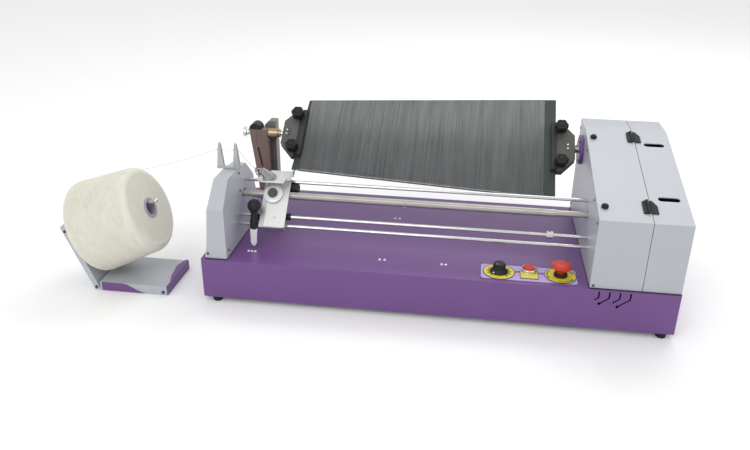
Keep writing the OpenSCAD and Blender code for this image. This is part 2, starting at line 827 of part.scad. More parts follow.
module control_board() {
    color([0.12, 0.35, 0.22]) machine() translate([450, 220, base_z + 1.5]) {
        for (x = [6, 124], y = [6, 84]) translate([x, y, 0]) cylinder(r = 3, h = 8);
        translate([0, 0, 8]) cube([130, 90, 1.6]);
        for (x = [14:28:98]) translate([x, 14, 9.6]) cube([16, 20, 12]);
        translate([20, 52, 9.6]) cube([34, 26, 4]);
        for (x = [78, 100]) translate([x, 62, 9.6]) cylinder(r = 7, h = 22);
    }
}

module mains_inlet() {
    color(black) machine() translate([inlet_x, 0, inlet_z]) difference() {
        union() {
            translate([-28, base_d, -16]) cube([56, 3, 32]);
            translate([-22.9, base_d - 26, -12.9]) cube([45.8, 26, 25.8]);
        }
        translate([-14, base_d - 14, -9]) cube([28, 20, 18]);
    }
}

// places things on the stand arm: X off its face, Z up its length
module on_arm(x, y, up) {
    translate([stand_x, y, arm_foot_z]) rotate([0, -peg_tilt, 0]) translate([x, 0, up]) children();
}

// places things round the peg: Z away from the arm, -X up the arm
module on_peg(out) {
    translate([stand_x, nose_y, arm_foot_z]) rotate([0, 90 - peg_tilt, 0]) translate([-peg_up, 0, out])
        children();
}

module stand_base() {
    color(grey) machine() difference() {
        translate([stand_x, stand_y, 0]) cube([stand_w, stand_d, stand_h]);
        translate([stand_x + 2, stand_y + 2, -1]) cube([stand_w - 4, stand_d - 4, stand_h - 1]);
    }
}

module stand_panels() {
    color(purple) machine() {
        translate([stand_x, stand_y, 0]) rotate([90, 0, 0]) linear_extrude(1.5)
            polygon([[5, 1.5], [5, stand_h], [50, stand_h], [60, stand_h - 2], [82, 6], [96, 1.5]]);
        translate([stand_x + stand_w, stand_y, 1]) cube([1.5, stand_d, stand_h + 0.5]);
        translate([stand_x + stand_w, stand_y, stand_h]) linear_extrude(1.5)
            polygon([[0, 20], [0, stand_d], [-5, stand_d], [-14, stand_d - 28], [-8, 46]]);
    }
}

module stand_arm() {
    color(grey) machine() difference() {
        on_arm(-arm_t, stand_y, 0) cube([arm_t, stand_d, arm_len]);
        on_arm(-arm_t - 1, stand_y + 2, -1) cube([arm_t - 1, stand_d - 4, arm_len - 1]);
        on_peg(-4) translate([-peg_lift, 0, 0]) cylinder(r = 5 + run, h = 8);
        translate([stand_x - 50, 0, -20]) cube([100, 200, 20]);
        translate([stand_x, 0, -1]) cube([50, 200, stand_h + 2]);
    }
}

module stand_peg() {
    color(steel) machine() {
        on_peg(-4) translate([-peg_lift, 0, 0]) cylinder(r = 5, h = package_out + package_len + 22);
        on_peg(package_out + package_len + 18) translate([-peg_lift, 0, 0]) sphere(r = 5);
        on_peg(-5.5) translate([-peg_lift, 0, 0]) cylinder(r = 9, h = 3.5, $fn = 6);
        on_peg(0.1) translate([-peg_lift, 0, 0]) cylinder(r = 11, h = package_out - 1.5);
    }
}

module yarn_core() {
    color([0.70, 0.66, 0.72]) machine() on_peg(package_out - 1) difference() {
        cylinder(r = 21, h = package_len + 2.5);
        translate([0, 0, -1]) cylinder(r = 15, h = package_len + 5);
    }
}

// side of the package: a slow taper with well rounded ends
function corner(z, r, round_r, from) =
    [for (a = [0:15:90]) [r + round_r * cos(from + a), z + round_r * sin(from + a)]];

module yarn_package() {
    color(cream) machine() on_peg(package_out) rotate_extrude($fn = 96) polygon(concat([[21, 0]],
        corner(round_big, package_r_big - round_big, round_big, -90),
        corner(package_len - round_nose, package_r_nose - round_nose, round_nose, 0),
        [[21, package_len]]));
}

// round cord through a list of points, eight sides
function unit(v) = v / norm(v);
function heading(p, i) = unit(p[min(i + 1, len(p) - 1)] - p[max(i - 1, 0)]);
function side(d) = unit(cross(d, abs(d[2]) > 0.9 ? [0, 1, 0] : [0, 0, 1]));
function cord_ring(p, i, r) = let (d = heading(p, i), u = side(d), v = cross(d, u))
    [for (a = [0:45:315]) p[i] + r * (cos(a) * u + sin(a) * v)];

module cord(p, r) {
    n = len(p);
    polyhedron([for (i = [0:n - 1]) each cord_ring(p, i, r)],
        concat([[for (k = [7:-1:0]) k]], [[for (k = [0:7]) (n - 1) * 8 + k]],
            [for (i = [0:n - 2], k = [0:7]) [i * 8 + k, i * 8 + (k + 1) % 8, (i + 1) * 8 + (k + 1) % 8,
                (i + 1) * 8 + k]]));
}

// slack line from a to b that sags by the given amount, n steps
function sag_line(a, b, sag, n) =
    [for (i = [0:n]) a + (b - a) * i / n - [0, 0, sag * 4 * (i / n) * (1 - i / n)]];

module yarn_strand() {
    first_eye = [finger_x[0] - 8, finger_y, eye_z - 0.5];
    color(cream) machine() cord(concat(sag_line(strand_from, first_eye, 5, 16),
        [[finger_x[0], finger_y, eye_z], [(finger_x[0] + finger_x[1]) / 2, finger_y, eye_z],
            [finger_x[1], finger_y, eye_z], [finger_x[1] + 6, finger_y, eye_z - 0.4]]), yarn_r);
}

module yarn_tail() {
    color(cream) machine() {
        cord(concat(sag_line([finger_x[1] + 7, finger_y, eye_z - 2], [79, 142.6, 237], 1, 6),
            [[82, 142.4, 237.4], [90, 129, 244], [96.5, 114.5, 250.5], [99.5, 111, 250], [101.5, 112, 247.5],
                [110, 116.9, 236.8], [118.1, 121.6, 226.5], [119.6, 127, 218], [120, 131.2, 212.4]]), yarn_r);
        cord([[136, 128, 209], [148, 125, 218], [151, 125.5, 227], [153.5, 142, 233.5], [158, 150, 234.2],
            [164, 158, 236]], yarn_r);
    }
}

base_box();
base_floor();
base_feet();
machine_screws();
drive_housing();
bearing_wall();
cover_bumpers();
hinge_leaves();
left_housing();
yarn_fingers();
guide_rods();
screw_bearings();
trip_switch();
tail_post();
tail_bracket();
tail_cap();
tail_bush();
spindle_flange();
gear_motor();
drive_belts();
power_supply();
control_board();
mains_inlet();
control_panel();
legend_plates();
control_bodies();
stand_base();
stand_panels();
stand_arm();
stand_peg();
yarn_strand();
drive_cover();
cover_leaves();
board();
board_winding();
chuck_plates();
drive_spindle();
spindle_pulley();
star_knob_1();
star_knob_2();
star_knob_3();
star_knob_4();
lead_screw();
screw_pulley();
motor_pulley();
trip_rod();
tail_spindle();
carriage_block();
carriage_plates();
carriage_guides();
yarn_tail();
tension_discs();
tension_nut();
half_nut();
half_nut_lever();
speed_knob();
push_button();
estop_head();
yarn_core();
yarn_package();
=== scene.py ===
"""A yarn board winder with its package stand: looks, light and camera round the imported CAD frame."""
import json
import math
import random

import bpy
import numpy as np
from mathutils import Matrix, Vector


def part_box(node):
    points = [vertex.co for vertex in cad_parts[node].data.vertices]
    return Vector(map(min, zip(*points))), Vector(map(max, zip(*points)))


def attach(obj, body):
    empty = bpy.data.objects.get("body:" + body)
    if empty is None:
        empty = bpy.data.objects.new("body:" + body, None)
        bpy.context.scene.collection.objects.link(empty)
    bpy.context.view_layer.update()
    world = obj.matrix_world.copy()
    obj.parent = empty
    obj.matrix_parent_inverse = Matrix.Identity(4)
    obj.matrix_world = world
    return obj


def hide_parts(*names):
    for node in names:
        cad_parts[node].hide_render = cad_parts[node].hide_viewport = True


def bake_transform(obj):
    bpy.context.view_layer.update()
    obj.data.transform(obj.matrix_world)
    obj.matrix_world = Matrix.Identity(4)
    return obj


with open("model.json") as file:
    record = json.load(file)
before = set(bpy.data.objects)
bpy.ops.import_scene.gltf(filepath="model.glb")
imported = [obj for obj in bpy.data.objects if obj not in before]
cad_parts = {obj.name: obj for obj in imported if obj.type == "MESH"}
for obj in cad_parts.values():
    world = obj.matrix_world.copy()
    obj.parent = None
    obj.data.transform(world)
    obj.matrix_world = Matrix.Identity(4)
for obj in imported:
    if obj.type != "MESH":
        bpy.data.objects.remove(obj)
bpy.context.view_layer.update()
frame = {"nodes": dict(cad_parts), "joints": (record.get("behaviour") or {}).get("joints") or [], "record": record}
NODES = frame["nodes"]
JOINTS = {j["name"]: j for j in frame["joints"]}
random.seed(11)

MM = 0.001
BASE_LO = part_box("base_box")[0]
CORNER = Vector((BASE_LO.x, BASE_LO.y, 0.0))


def at(x, y, z):
    """A point in millimetres from the base box's front left corner on the table, in metres."""
    return CORNER + Vector((x, y, z)) * MM


# ---------------------------------------------------------------- camera

CAMERA_AT = at(521.7, -1230.7, 767.4)
CAMERA_YAW = math.radians(8.0)
CAMERA_PITCH = math.radians(24.7)
CAMERA_ROLL = math.radians(0.6)
CAMERA_LENS = 35.28


def make_camera():
    """The photograph's camera: yaw from +Y, pitch down and a slight roll."""
    ahead = Vector((-math.sin(CAMERA_YAW) * math.cos(CAMERA_PITCH),
                    math.cos(CAMERA_YAW) * math.cos(CAMERA_PITCH), -math.sin(CAMERA_PITCH)))
    right = ahead.cross(Vector((0, 0, 1))).normalized()
    up = right.cross(ahead)
    c, s = math.cos(CAMERA_ROLL), math.sin(CAMERA_ROLL)
    turn = Matrix((right * c + up * s, up * c - right * s, -ahead)).transposed().to_4x4()
    data = bpy.data.cameras.new("camera")
    data.lens = CAMERA_LENS
    data.sensor_width = 36.0
    data.clip_start = 0.01
    data.clip_end = 100.0
    camera = bpy.data.objects.new("camera", data)
    camera.matrix_world = Matrix.Translation(CAMERA_AT) @ turn
    bpy.context.scene.collection.objects.link(camera)
    bpy.context.scene.camera = camera


make_camera()

# ---------------------------------------------------------------- materials


class Nodes:
    """Small helper that adds and links nodes in one material."""

    def __init__(self, name):
        self.material = bpy.data.materials.new(name)
        self.material.use_nodes = True
        self.tree = self.material.node_tree
        self.shader = self.tree.nodes["Principled BSDF"]
        coords = self.tree.nodes.new("ShaderNodeTexCoord")
        self.place = coords.outputs["Object"]

    def add(self, kind, **values):
        node = self.tree.nodes.new(kind)
        for key, value in values.items():
            if hasattr(node, key):
                setattr(node, key, value)
        return node

    def link(self, a, b):
        self.tree.links.new(a, b)

    def stretched(self, scale):
        node = self.add("ShaderNodeMapping")
        node.inputs["Scale"].default_value = scale
        self.link(self.place, node.inputs["Vector"])
        return node.outputs["Vector"]

    def noise(self, scale, detail=3.0, rough=0.5, stretch=(1, 1, 1)):
        node = self.add("ShaderNodeTexNoise")
        node.inputs["Scale"].default_value = scale
        node.inputs["Detail"].default_value = detail
        node.inputs["Roughness"].default_value = rough
        self.link(self.stretched(stretch), node.inputs["Vector"])
        return node.outputs["Fac"]

    def ramp(self, fac, low, high, low_at=0.3, high_at=0.7):
        node = self.add("ShaderNodeMapRange")
        node.inputs["From Min"].default_value = low_at
        node.inputs["From Max"].default_value = high_at
        node.inputs["To Min"].default_value = low
        node.inputs["To Max"].default_value = high
        self.link(fac, node.inputs["Value"])
        return node.outputs["Result"]

    def mix(self, fac, a, b):
        node = self.add("ShaderNodeMix", data_type="RGBA")
        self.link(fac, node.inputs["Factor"])
        for socket, value in ((node.inputs[6], a), (node.inputs[7], b)):
            if hasattr(value, "links"):
                self.link(value, socket)
            else:
                socket.default_value = (*value, 1.0)
        return node.outputs[2]

    def bump(self, height, strength, distance):
        node = self.add("ShaderNodeBump")
        node.inputs["Strength"].default_value = strength
        node.inputs["Distance"].default_value = distance
        self.link(height, node.inputs["Height"])
        self.link(node.outputs["Normal"], self.shader.inputs["Normal"])

    def set(self, name, value):
        self.shader.inputs[name].default_value = value


def shade(colour, factor):
    return tuple(min(1.0, c * factor) for c in colour)


def surface(name, colour, rough, metal=0.0, specular=0.5, mottle=0.05, mottle_scale=18.0,
            grain=400.0, grain_depth=0.00004, grain_strength=0.25, stretch=(1, 1, 1),
            rough_spread=0.06, coat=0.0, sheen=0.0):
    """A material with slow changes of tone, a fine grain in the bump and an uneven gloss."""
    n = Nodes(name)
    slow = n.noise(mottle_scale, 4.0, 0.6)
    tone = n.mix(n.ramp(slow, 0.0, 1.0), shade(colour, 1.0 - mottle), shade(colour, 1.0 + mottle))
    n.link(tone, n.shader.inputs["Base Color"])
    fine = n.noise(grain, 2.0, 0.6, stretch)
    n.link(n.ramp(fine, rough - rough_spread, rough + rough_spread), n.shader.inputs["Roughness"])
    n.bump(fine, grain_strength, grain_depth)
    n.set("Metallic", metal)
    n.set("Specular IOR Level", specular)
    n.set("Coat Weight", coat)
    n.set("Coat Roughness", 0.12)
    n.set("Sheen Weight", sheen)
    return n.material


def circuit_material():
    """Green board with paler cells between its tracks."""
    n = Nodes("circuit_board")
    cells = n.add("ShaderNodeTexVoronoi", feature="DISTANCE_TO_EDGE")
    cells.inputs["Scale"].default_value = 160.0
    n.link(n.place, cells.inputs["Vector"])
    tracks = n.ramp(cells.outputs["Distance"], 1.0, 0.0, 0.02, 0.06)
    tone = n.mix(tracks, (0.015, 0.11, 0.045), (0.03, 0.20, 0.08))
    n.link(tone, n.shader.inputs["Base Color"])
    n.link(n.ramp(n.noise(60.0), 0.3, 0.45), n.shader.inputs["Roughness"])
    return n.material


def wound_grey():
    """Grey yarn that changes tone from turn to turn, and a little along each turn."""
    n = Nodes("grey_yarn")
    turns = n.noise(1.0, 3.0, 0.75, (620.0, 5.0, 5.0))
    broad = n.noise(1.0, 2.0, 0.5, (70.0, 7.0, 7.0))
    mixed = n.add("ShaderNodeMath", operation="MULTIPLY_ADD")
    n.link(turns, mixed.inputs[0])
    mixed.inputs[1].default_value = 0.7
    part = n.add("ShaderNodeMath", operation="MULTIPLY")
    part.inputs[1].default_value = 0.3
    n.link(broad, part.inputs[0])
    n.link(part.outputs[0], mixed.inputs[2])
    share = n.ramp(mixed.outputs[0], 0.0, 1.0, 0.34, 0.66)
    tone = n.mix(share, (0.255, 0.270, 0.270), (0.74, 0.76, 0.76))
    n.link(tone, n.shader.inputs["Base Color"])
    fuzz = n.noise(2600.0, 2.0, 0.6)
    n.link(n.ramp(fuzz, 0.8, 0.95), n.shader.inputs["Roughness"])
    n.bump(fuzz, 0.5, 0.0002)
    n.set("Sheen Weight", 0.2)
    n.set("Specular IOR Level", 0.2)
    return n.material


def screw_heads_painted_glint():
    """Screw heads: near-white on the base top as a painted glint for the steel's reflections, and blackened
    elsewhere.
    """
    n = Nodes("screw_heads_painted_glint")
    parts = n.add("ShaderNodeSeparateXYZ")
    n.link(n.place, parts.inputs["Vector"])
    low = n.ramp(parts.outputs["Z"], 0.0, 1.0, 0.0940, 0.0942)
    high = n.ramp(parts.outputs["Z"], 1.0, 0.0, 0.0972, 0.0974)
    both = n.add("ShaderNodeMath", operation="MULTIPLY")
    n.link(low, both.inputs[0])
    n.link(high, both.inputs[1])
    # the near-white tone on the base-top heads is a painted glint, not the steel's own colour
    tone = n.mix(both.outputs[0], (0.085, 0.082, 0.078), (0.88, 0.88, 0.87))
    n.link(tone, n.shader.inputs["Base Color"])
    n.link(n.ramp(both.outputs[0], 0.7, 0.1, 0.0, 1.0), n.shader.inputs["Metallic"])
    fine = n.noise(1500.0, 2.0, 0.6)
    n.link(n.ramp(fine, 0.26, 0.40), n.shader.inputs["Roughness"])
    n.bump(fine, 0.2, 0.00004)
    return n.material


def chuck_paint():
    """Dark paint, nearly black on the clamp bars over the board's two ends."""
    n = Nodes("chuck_paint")
    parts = n.add("ShaderNodeSeparateXYZ")
    n.link(n.place, parts.inputs["Vector"])
    board_lo, board_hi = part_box("board")
    left = n.ramp(parts.outputs["X"], 0.0, 1.0, board_lo.x - 0.0014, board_lo.x - 0.0010)
    right = n.ramp(parts.outputs["X"], 1.0, 0.0, board_hi.x + 0.0010, board_hi.x + 0.0014)
    both = n.add("ShaderNodeMath", operation="MULTIPLY")
    n.link(left, both.inputs[0])
    n.link(right, both.inputs[1])
    slow = n.noise(18.0, 4.0, 0.6)
    plain = n.mix(n.ramp(slow, 0.0, 1.0), (0.085, 0.086, 0.074), (0.110, 0.112, 0.098))
    n.link(n.mix(both.outputs[0], plain, (0.022, 0.024, 0.024)), n.shader.inputs["Base Color"])
    fine = n.noise(800.0, 2.0, 0.6)
    n.link(n.ramp(fine, 0.38, 0.5), n.shader.inputs["Roughness"])
    n.bump(fine, 0.25, 0.00004)
    return n.material


MATERIALS = {
    "purple_paint": surface("purple_paint", (0.152, 0.064, 0.232), 0.42, mottle=0.03, grain=900.0),
    "grey_paint": surface("grey_paint", (0.440, 0.465, 0.50), 0.40, mottle=0.02, grain=900.0),
    "white_ceramic": surface("white_ceramic", (0.80, 0.80, 0.79), 0.22, mottle=0.02, coat=0.4),
    "bronze_paint": surface("bronze_paint", (0.185, 0.122, 0.108), 0.38, mottle=0.08, grain=900.0),
    "dark_paint": surface("dark_paint", (0.070, 0.073, 0.062), 0.42, mottle=0.10, grain=800.0),
    "zinc_sheet": surface("zinc_sheet", (0.50, 0.51, 0.52), 0.38, metal=0.9, mottle=0.12,
                          mottle_scale=60.0),
    "bright_steel": surface("bright_steel", (0.70, 0.70, 0.70), 0.16, metal=1.0, mottle=0.04,
                            grain=700.0, stretch=(0.05, 1, 1), rough_spread=0.04),
    "machined_steel": surface("machined_steel", (0.46, 0.44, 0.41), 0.34, metal=0.85, mottle=0.08,
                              grain=900.0, stretch=(1, 0.1, 0.1)),
    "stainless_plate": surface("stainless_plate", (0.72, 0.72, 0.71), 0.36, metal=0.6, mottle=0.02,
                               grain=1500.0, stretch=(0.04, 1, 1), grain_strength=0.01, rough_spread=0.03),
    "aluminium_parts": surface("aluminium_parts", (0.52, 0.53, 0.54), 0.40, metal=0.8, mottle=0.06),
    "brass_parts": surface("brass_parts", (0.40, 0.33, 0.20), 0.34, metal=1.0, mottle=0.10,
                           grain=900.0, stretch=(1, 0.1, 0.1)),
    "black_plastic": surface("black_plastic", (0.011, 0.012, 0.013), 0.50, mottle=0.15, grain=1400.0,
                             specular=0.35),
    "black_rubber": surface("black_rubber", (0.014, 0.014, 0.015), 0.70, mottle=0.2, grain=900.0,
                            specular=0.3),
    "panel_print": surface("panel_print", (0.46, 0.36, 0.66), 0.38, mottle=0.02, grain=1600.0),
    "yellow_print": surface("yellow_print", (0.72, 0.64, 0.035), 0.40, mottle=0.03, grain=1500.0),
    "red_plastic": surface("red_plastic", (0.56, 0.040, 0.020), 0.42, mottle=0.05, specular=0.35),
    "board_face": surface("board_face", (0.032, 0.046, 0.044), 0.45, mottle=0.10, grain=700.0),
    "grey_yarn": wound_grey(),
    "cream_yarn": surface("cream_yarn", (0.74, 0.725, 0.63), 0.88, mottle=0.04, mottle_scale=40.0,
                          grain=2600.0, grain_depth=0.0002, grain_strength=0.4, sheen=0.2, specular=0.2),
    "paper_tube": surface("paper_tube", (0.36, 0.33, 0.40), 0.75, mottle=0.08, grain=500.0),
    "circuit_board": circuit_material(),
    "post_paint": surface("post_paint", (0.165, 0.150, 0.130), 0.40, mottle=0.06, grain=900.0),
    "finger_metal": surface("finger_metal", (0.46, 0.48, 0.48), 0.38, metal=0.5, mottle=0.06,
                            grain=900.0),
    "guide_metal": surface("guide_metal", (0.34, 0.34, 0.34), 0.36, metal=0.8, mottle=0.06,
                           grain=900.0),
    "hinge_plastic": surface("hinge_plastic", (0.020, 0.021, 0.023), 0.6, mottle=0.15,
                             grain=1400.0, specular=0.2),
    "screw_heads_painted_glint": screw_heads_painted_glint(),
    "chuck_paint": chuck_paint(),
    "outline_print": surface("outline_print", (0.085, 0.035, 0.14), 0.40, mottle=0.03, grain=1500.0),
    "black_print": surface("black_print", (0.02, 0.02, 0.02), 0.45, mottle=0.1, grain=1500.0),
    "white_print": surface("white_print", (0.85, 0.85, 0.84), 0.4, mottle=0.02, grain=1500.0),
    "strip_steel": surface("strip_steel", (0.62, 0.63, 0.66), 0.28, metal=0.7, mottle=0.05, grain=1500.0),
    "screw_steel": surface("screw_steel", (0.78, 0.77, 0.74), 0.22, metal=1.0, mottle=0.05, grain=1500.0),
    "contact_brass": surface("contact_brass", (0.66, 0.55, 0.30), 0.25, metal=1.0, mottle=0.05),
}

# per node: its slot, its rounded edges in millimetres, and its looks where they aren't the slot's
SLOT_OF = {s["node"]: s["material_slot"] for s in frame["record"]["subparts"]}
EDGE = {"base_box": 0.8, "drive_housing": 1.0, "drive_cover": 1.0, "left_housing": 1.0, "tail_post": 0.6,
        "tail_bracket": 0.8, "stand_base": 1.0, "stand_arm": 1.0, "stand_panels": 0.4, "chuck_plates": 0.5,
        "carriage_plates": 0.3, "carriage_block": 0.6, "half_nut_lever": 0.4, "base_feet": 0.8,
        "cover_bumpers": 0.6, "tail_cap": 1.2, "board": 0.4, "spindle_flange": 0.6, "yarn_fingers": 0.4,
        "hinge_leaves": 0.3, "cover_leaves": 0.3, "mains_inlet": 0.5, "gear_motor": 0.8, "yarn_core": 0.5,
        "tension_discs": 0.3, "tail_bush": 0.4, "tail_spindle": 0.5, "trip_rod": 0.5, "machine_screws": 0.15,
        "spindle_pulley": 0.3, "screw_pulley": 0.3, "motor_pulley": 0.3, "stand_peg": 0.4}
LOOKS = {"tail_post": "post_paint", "yarn_fingers": "finger_metal", "carriage_guides": "guide_metal",
         "hinge_leaves": "hinge_plastic", "cover_leaves": "hinge_plastic", "machine_screws": "screw_heads_painted_glint",
         "chuck_plates": "chuck_paint"}


def finish_edges(o, width_mm, angle=35.0):
    """Joins the imported faces, rounds their sharp edges and shades what is left by its angle."""
    weld = o.modifiers.new("weld", "WELD")
    weld.merge_threshold = 0.00001
    flat = o.modifiers.new("flat_faces", "DECIMATE")
    flat.decimate_type = "DISSOLVE"
    flat.angle_limit = math.radians(0.6)
    if width_mm:
        bevel = o.modifiers.new("bevel", "BEVEL")
        bevel.width = width_mm * MM
        bevel.segments = 2
        bevel.limit_method = "ANGLE"
        bevel.angle_limit = math.radians(angle)
        bevel.use_clamp_overlap = True
        bevel.harden_normals = False
    even = o.modifiers.new("normals", "WEIGHTED_NORMAL")
    even.keep_sharp = True
    even.weight = 50


def dress_nodes():
    """Gives every CAD node its material, slot and rounded edges."""
    for name, o in NODES.items():
        o.data.materials.clear()
        slot = SLOT_OF[name]
        o.data.materials.append(MATERIALS[LOOKS.get(name, slot)])
        for p in o.data.polygons:
            p.use_smooth = True
        finish_edges(o, EDGE.get(name, 0.0))


dress_nodes()

# ---------------------------------------------------------------- mesh helpers


def piece(name, verts, faces, slot, body, smooth=True, replaces=(), finish=None, looks=None):
    """A named mesh piece in the row frame that rides a body."""
    mesh = bpy.data.meshes.new(name)
    mesh.from_pydata([tuple(v) for v in verts], [], [tuple(int(i) for i in f) for f in faces])
    mesh.validate()
    mesh.update()
    for p in mesh.polygons:
        p.use_smooth = smooth
    o = bpy.data.objects.new(name, mesh)
    bpy.context.scene.collection.objects.link(o)
    mesh.materials.append(MATERIALS[looks or slot])
    if finish is not None:
        finish_edges(o, finish)
    if body:
        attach(o, body)
    if replaces:
        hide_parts(*replaces)
    return o


def frames_along(points):
    """Two unit vectors square to a path at each point, turning as little as possible."""
    p = np.asarray(points, float)
    d = np.gradient(p, axis=0)
    d /= np.linalg.norm(d, axis=1)[:, None]
    start = np.array([0.0, 0.0, 1.0]) if abs(d[0][2]) < 0.9 else np.array([0.0, 1.0, 0.0])
    u = np.cross(d[0], start)
    u /= np.linalg.norm(u)
    us = []
    for t in d:
        u = u - t * u.dot(t)
        u /= np.linalg.norm(u)
        us.append(u.copy())
    us = np.array(us)
    return us, np.cross(d, us)


def tube(points, radius, sides=6, closed=False, cap=True):
    """Vertices and faces of a round tube along a path."""
    p = np.asarray(points, float)
    u, v = frames_along(p)
    r = np.broadcast_to(np.asarray(radius, float), (len(p),))
    a = np.linspace(0, 2 * math.pi, sides, endpoint=False)
    ring = (np.cos(a)[None, :, None] * u[:, None, :] + np.sin(a)[None, :, None] * v[:, None, :])
    verts = (p[:, None, :] + ring * r[:, None, None]).reshape(-1, 3)
    n = len(p)
    last = n if closed else n - 1
    i = np.arange(last)[:, None]
    k = np.arange(sides)[None, :]
    j = (i + 1) % n
    k2 = (k + 1) % sides
    faces = np.stack([i * sides + k, i * sides + k2, j * sides + k2, j * sides + k], -1).reshape(-1, 4)
    faces = [tuple(f) for f in faces]
    if cap and not closed:
        faces.append(tuple(range(sides))[::-1])
        faces.append(tuple(range((n - 1) * sides, n * sides)))
    return verts, faces


class Heap:
    """Collects several shapes into one mesh."""

    def __init__(self):
        self.verts = []
        self.faces = []

    def add(self, verts, faces, move=None):
        start = len(self.verts)
        for v in verts:
            self.verts.append(tuple(move @ Vector(v)) if move is not None else tuple(v))
        self.faces += [tuple(i + start for i in f) for f in faces]


def resample(points, step):
    """Points evenly spaced along a broken line."""
    p = np.asarray(points, float)
    seg = np.linalg.norm(np.diff(p, axis=0), axis=1)
    s = np.concatenate([[0], np.cumsum(seg)])
    n = max(2, int(s[-1] / step) + 1)
    t = np.linspace(0, s[-1], n)
    return np.stack([np.interp(t, s, p[:, i]) for i in range(3)], -1)


def softened(points, rounds=3):
    """A broken line with its corners cut round, ends kept."""
    p = np.asarray(points, float)
    for _ in range(rounds):
        q = [p[0]]
        for a, b in zip(p[:-1], p[1:]):
            q += [a * 0.75 + b * 0.25, a * 0.25 + b * 0.75]
        q.append(p[-1])
        p = np.array(q)
    return p


def twisted_yarn(points, radius, heap, plies=2, pitch=0.0032, sides=6):
    """Plies of yarn laid round each other along a path."""
    p = resample(points, 0.0007)
    u, v = frames_along(p)
    length = np.concatenate([[0], np.cumsum(np.linalg.norm(np.diff(p, axis=0), axis=1))])
    for k in range(plies):
        a = 2 * math.pi * (length / pitch + k / plies)
        off = (np.cos(a)[:, None] * u + np.sin(a)[:, None] * v) * radius * 0.48
        heap.add(*tube(p + off, radius * 0.56, sides))


def lathe(profile, sides=64, move=None, heap=None, squash_fn=None):
    """A shape turned round Z from (radius, height) pairs. A pair of radius 0 closes an end."""
    heap = heap or Heap()
    verts, faces, rings = [], [], []
    for r, z in profile:
        if r <= 0:
            rings.append([len(verts)])
            verts.append((0.0, 0.0, z))
            continue
        ring = []
        for i in range(sides):
            a = 2 * math.pi * i / sides
            k = squash_fn(a, r, z) if squash_fn else 1.0
            ring.append(len(verts))
            verts.append((r * k * math.cos(a), r * k * math.sin(a), z))
        rings.append(ring)
    for a, b in zip(rings[:-1], rings[1:]):
        for i in range(sides):
            j = (i + 1) % sides
            if len(a) == 1 and len(b) == 1:
                continue
            if len(a) == 1:
                faces.append((a[0], b[i], b[j]))
            elif len(b) == 1:
                faces.append((a[i], b[0], a[j]))
            else:
                faces.append((a[i], b[i], b[j], a[j]))
    heap.add(verts, [f[::-1] for f in faces], move)
    return heap


def rounded_profile(pairs, radius, steps=4):
    """(radius, height) pairs with the inner corners rounded."""
    out = [pairs[0]]
    for before, here, after in zip(pairs[:-2], pairs[1:-1], pairs[2:]):
        a, h, b = Vector(before), Vector(here), Vector(after)
        r = min(radius, (a - h).length * 0.45, (b - h).length * 0.45)
        p, q = h + (a - h).normalized() * r, h + (b - h).normalized() * r
        for i in range(steps + 1):
            t = i / steps
            m = p * (1 - t) ** 2 + h * 2 * t * (1 - t) + q * t ** 2
            out.append((m.x, m.y))
    out.append(pairs[-1])
    return out


def slab(outline, z0, z1, heap, move=None):
    """A flat plate from an outline of (x, y) pairs."""
    n = len(outline)
    verts = [(x, y, z0) for x, y in outline] + [(x, y, z1) for x, y in outline]
    faces = [tuple(range(n))[::-1], tuple(range(n, 2 * n))]
    faces += [(i, (i + 1) % n, n + (i + 1) % n, n + i) for i in range(n)]
    heap.add(verts, faces, move)


def band(outer, inner, z0, z1, heap, move=None):
    """A flat ring between two outlines with the same number of points."""
    n = len(outer)
    verts = [(x, y, z) for z in (z0, z1) for line in (outer, inner) for x, y in line]
    faces = []
    for i in range(n):
        j = (i + 1) % n
        faces += [(2 * n + i, 2 * n + j, 3 * n + j, 3 * n + i), (i, n + i, n + j, j),
                  (i, j, 2 * n + j, 2 * n + i), (n + i, 3 * n + i, 3 * n + j, n + j)]
    heap.add(verts, faces, move)


def round_rect(cx, cy, w, d, r, steps=8):
    """Outline of a rectangle with round corners, from its middle and size."""
    out = []
    for sx, sy, start in ((1, 1, 0), (-1, 1, 90), (-1, -1, 180), (1, -1, 270)):
        for i in range(steps + 1):
            a = math.radians(start + 90 * i / steps)
            out.append((cx + sx * (w / 2 - r) + r * math.cos(a), cy + sy * (d / 2 - r) + r * math.sin(a)))
    return out


def polar(r, degrees):
    a = math.radians(degrees)
    return r * math.cos(a), r * math.sin(a)


def circle(cx, cy, r, steps=64):
    return [(cx + r * math.cos(2 * math.pi * i / steps), cy + r * math.sin(2 * math.pi * i / steps))
            for i in range(steps)]


def turned_to(axis, where, first=None):
    """The matrix whose Z runs along axis, with its origin at where."""
    z = Vector(axis).normalized()
    x = Vector(first) if first is not None else Vector((1, 0, 0))
    x = (x - z * x.dot(z))
    if x.length < 1e-6:
        x = Vector((0, 1, 0))
    x.normalize()
    y = z.cross(x)
    return Matrix.Translation(Vector(where)) @ Matrix((x, y, z)).transposed().to_4x4()


def vertices_from(node, origin):
    """The vertices of a CAD node, measured from a point."""
    return np.array([v.co for v in NODES[node].data.vertices], float) - np.array(origin)


def spread(node, origin, axis):
    """Each vertex of a CAD node as (distance along axis, distance from it), in metres."""
    d = np.array(Vector(axis).normalized())
    rel = vertices_from(node, origin)
    along = rel @ d
    return along, np.linalg.norm(rel - along[:, None] * d, axis=1)


def millimetres(move=None):
    """Lets a shape drawn in millimetres be placed in metres."""
    return (move or Matrix.Identity(4)) @ Matrix.Scale(MM, 4)


def middle(lo, hi, axis):
    """The middle of a box along one axis, in millimetres from the base's corner."""
    return ((lo[axis] + hi[axis]) / 2 - CORNER[axis]) / MM


def standing(y=0.0, z=0.0):
    """Swaps Y and Z, so that a shape drawn flat stands up, then shifts it."""
    return Matrix(((1, 0, 0, 0), (0, 0, 1, y), (0, 1, 0, z), (0, 0, 0, 1)))


ALONG_X = Matrix.Rotation(math.radians(90), 4, "Y")


# ---------------------------------------------------------------- wound board

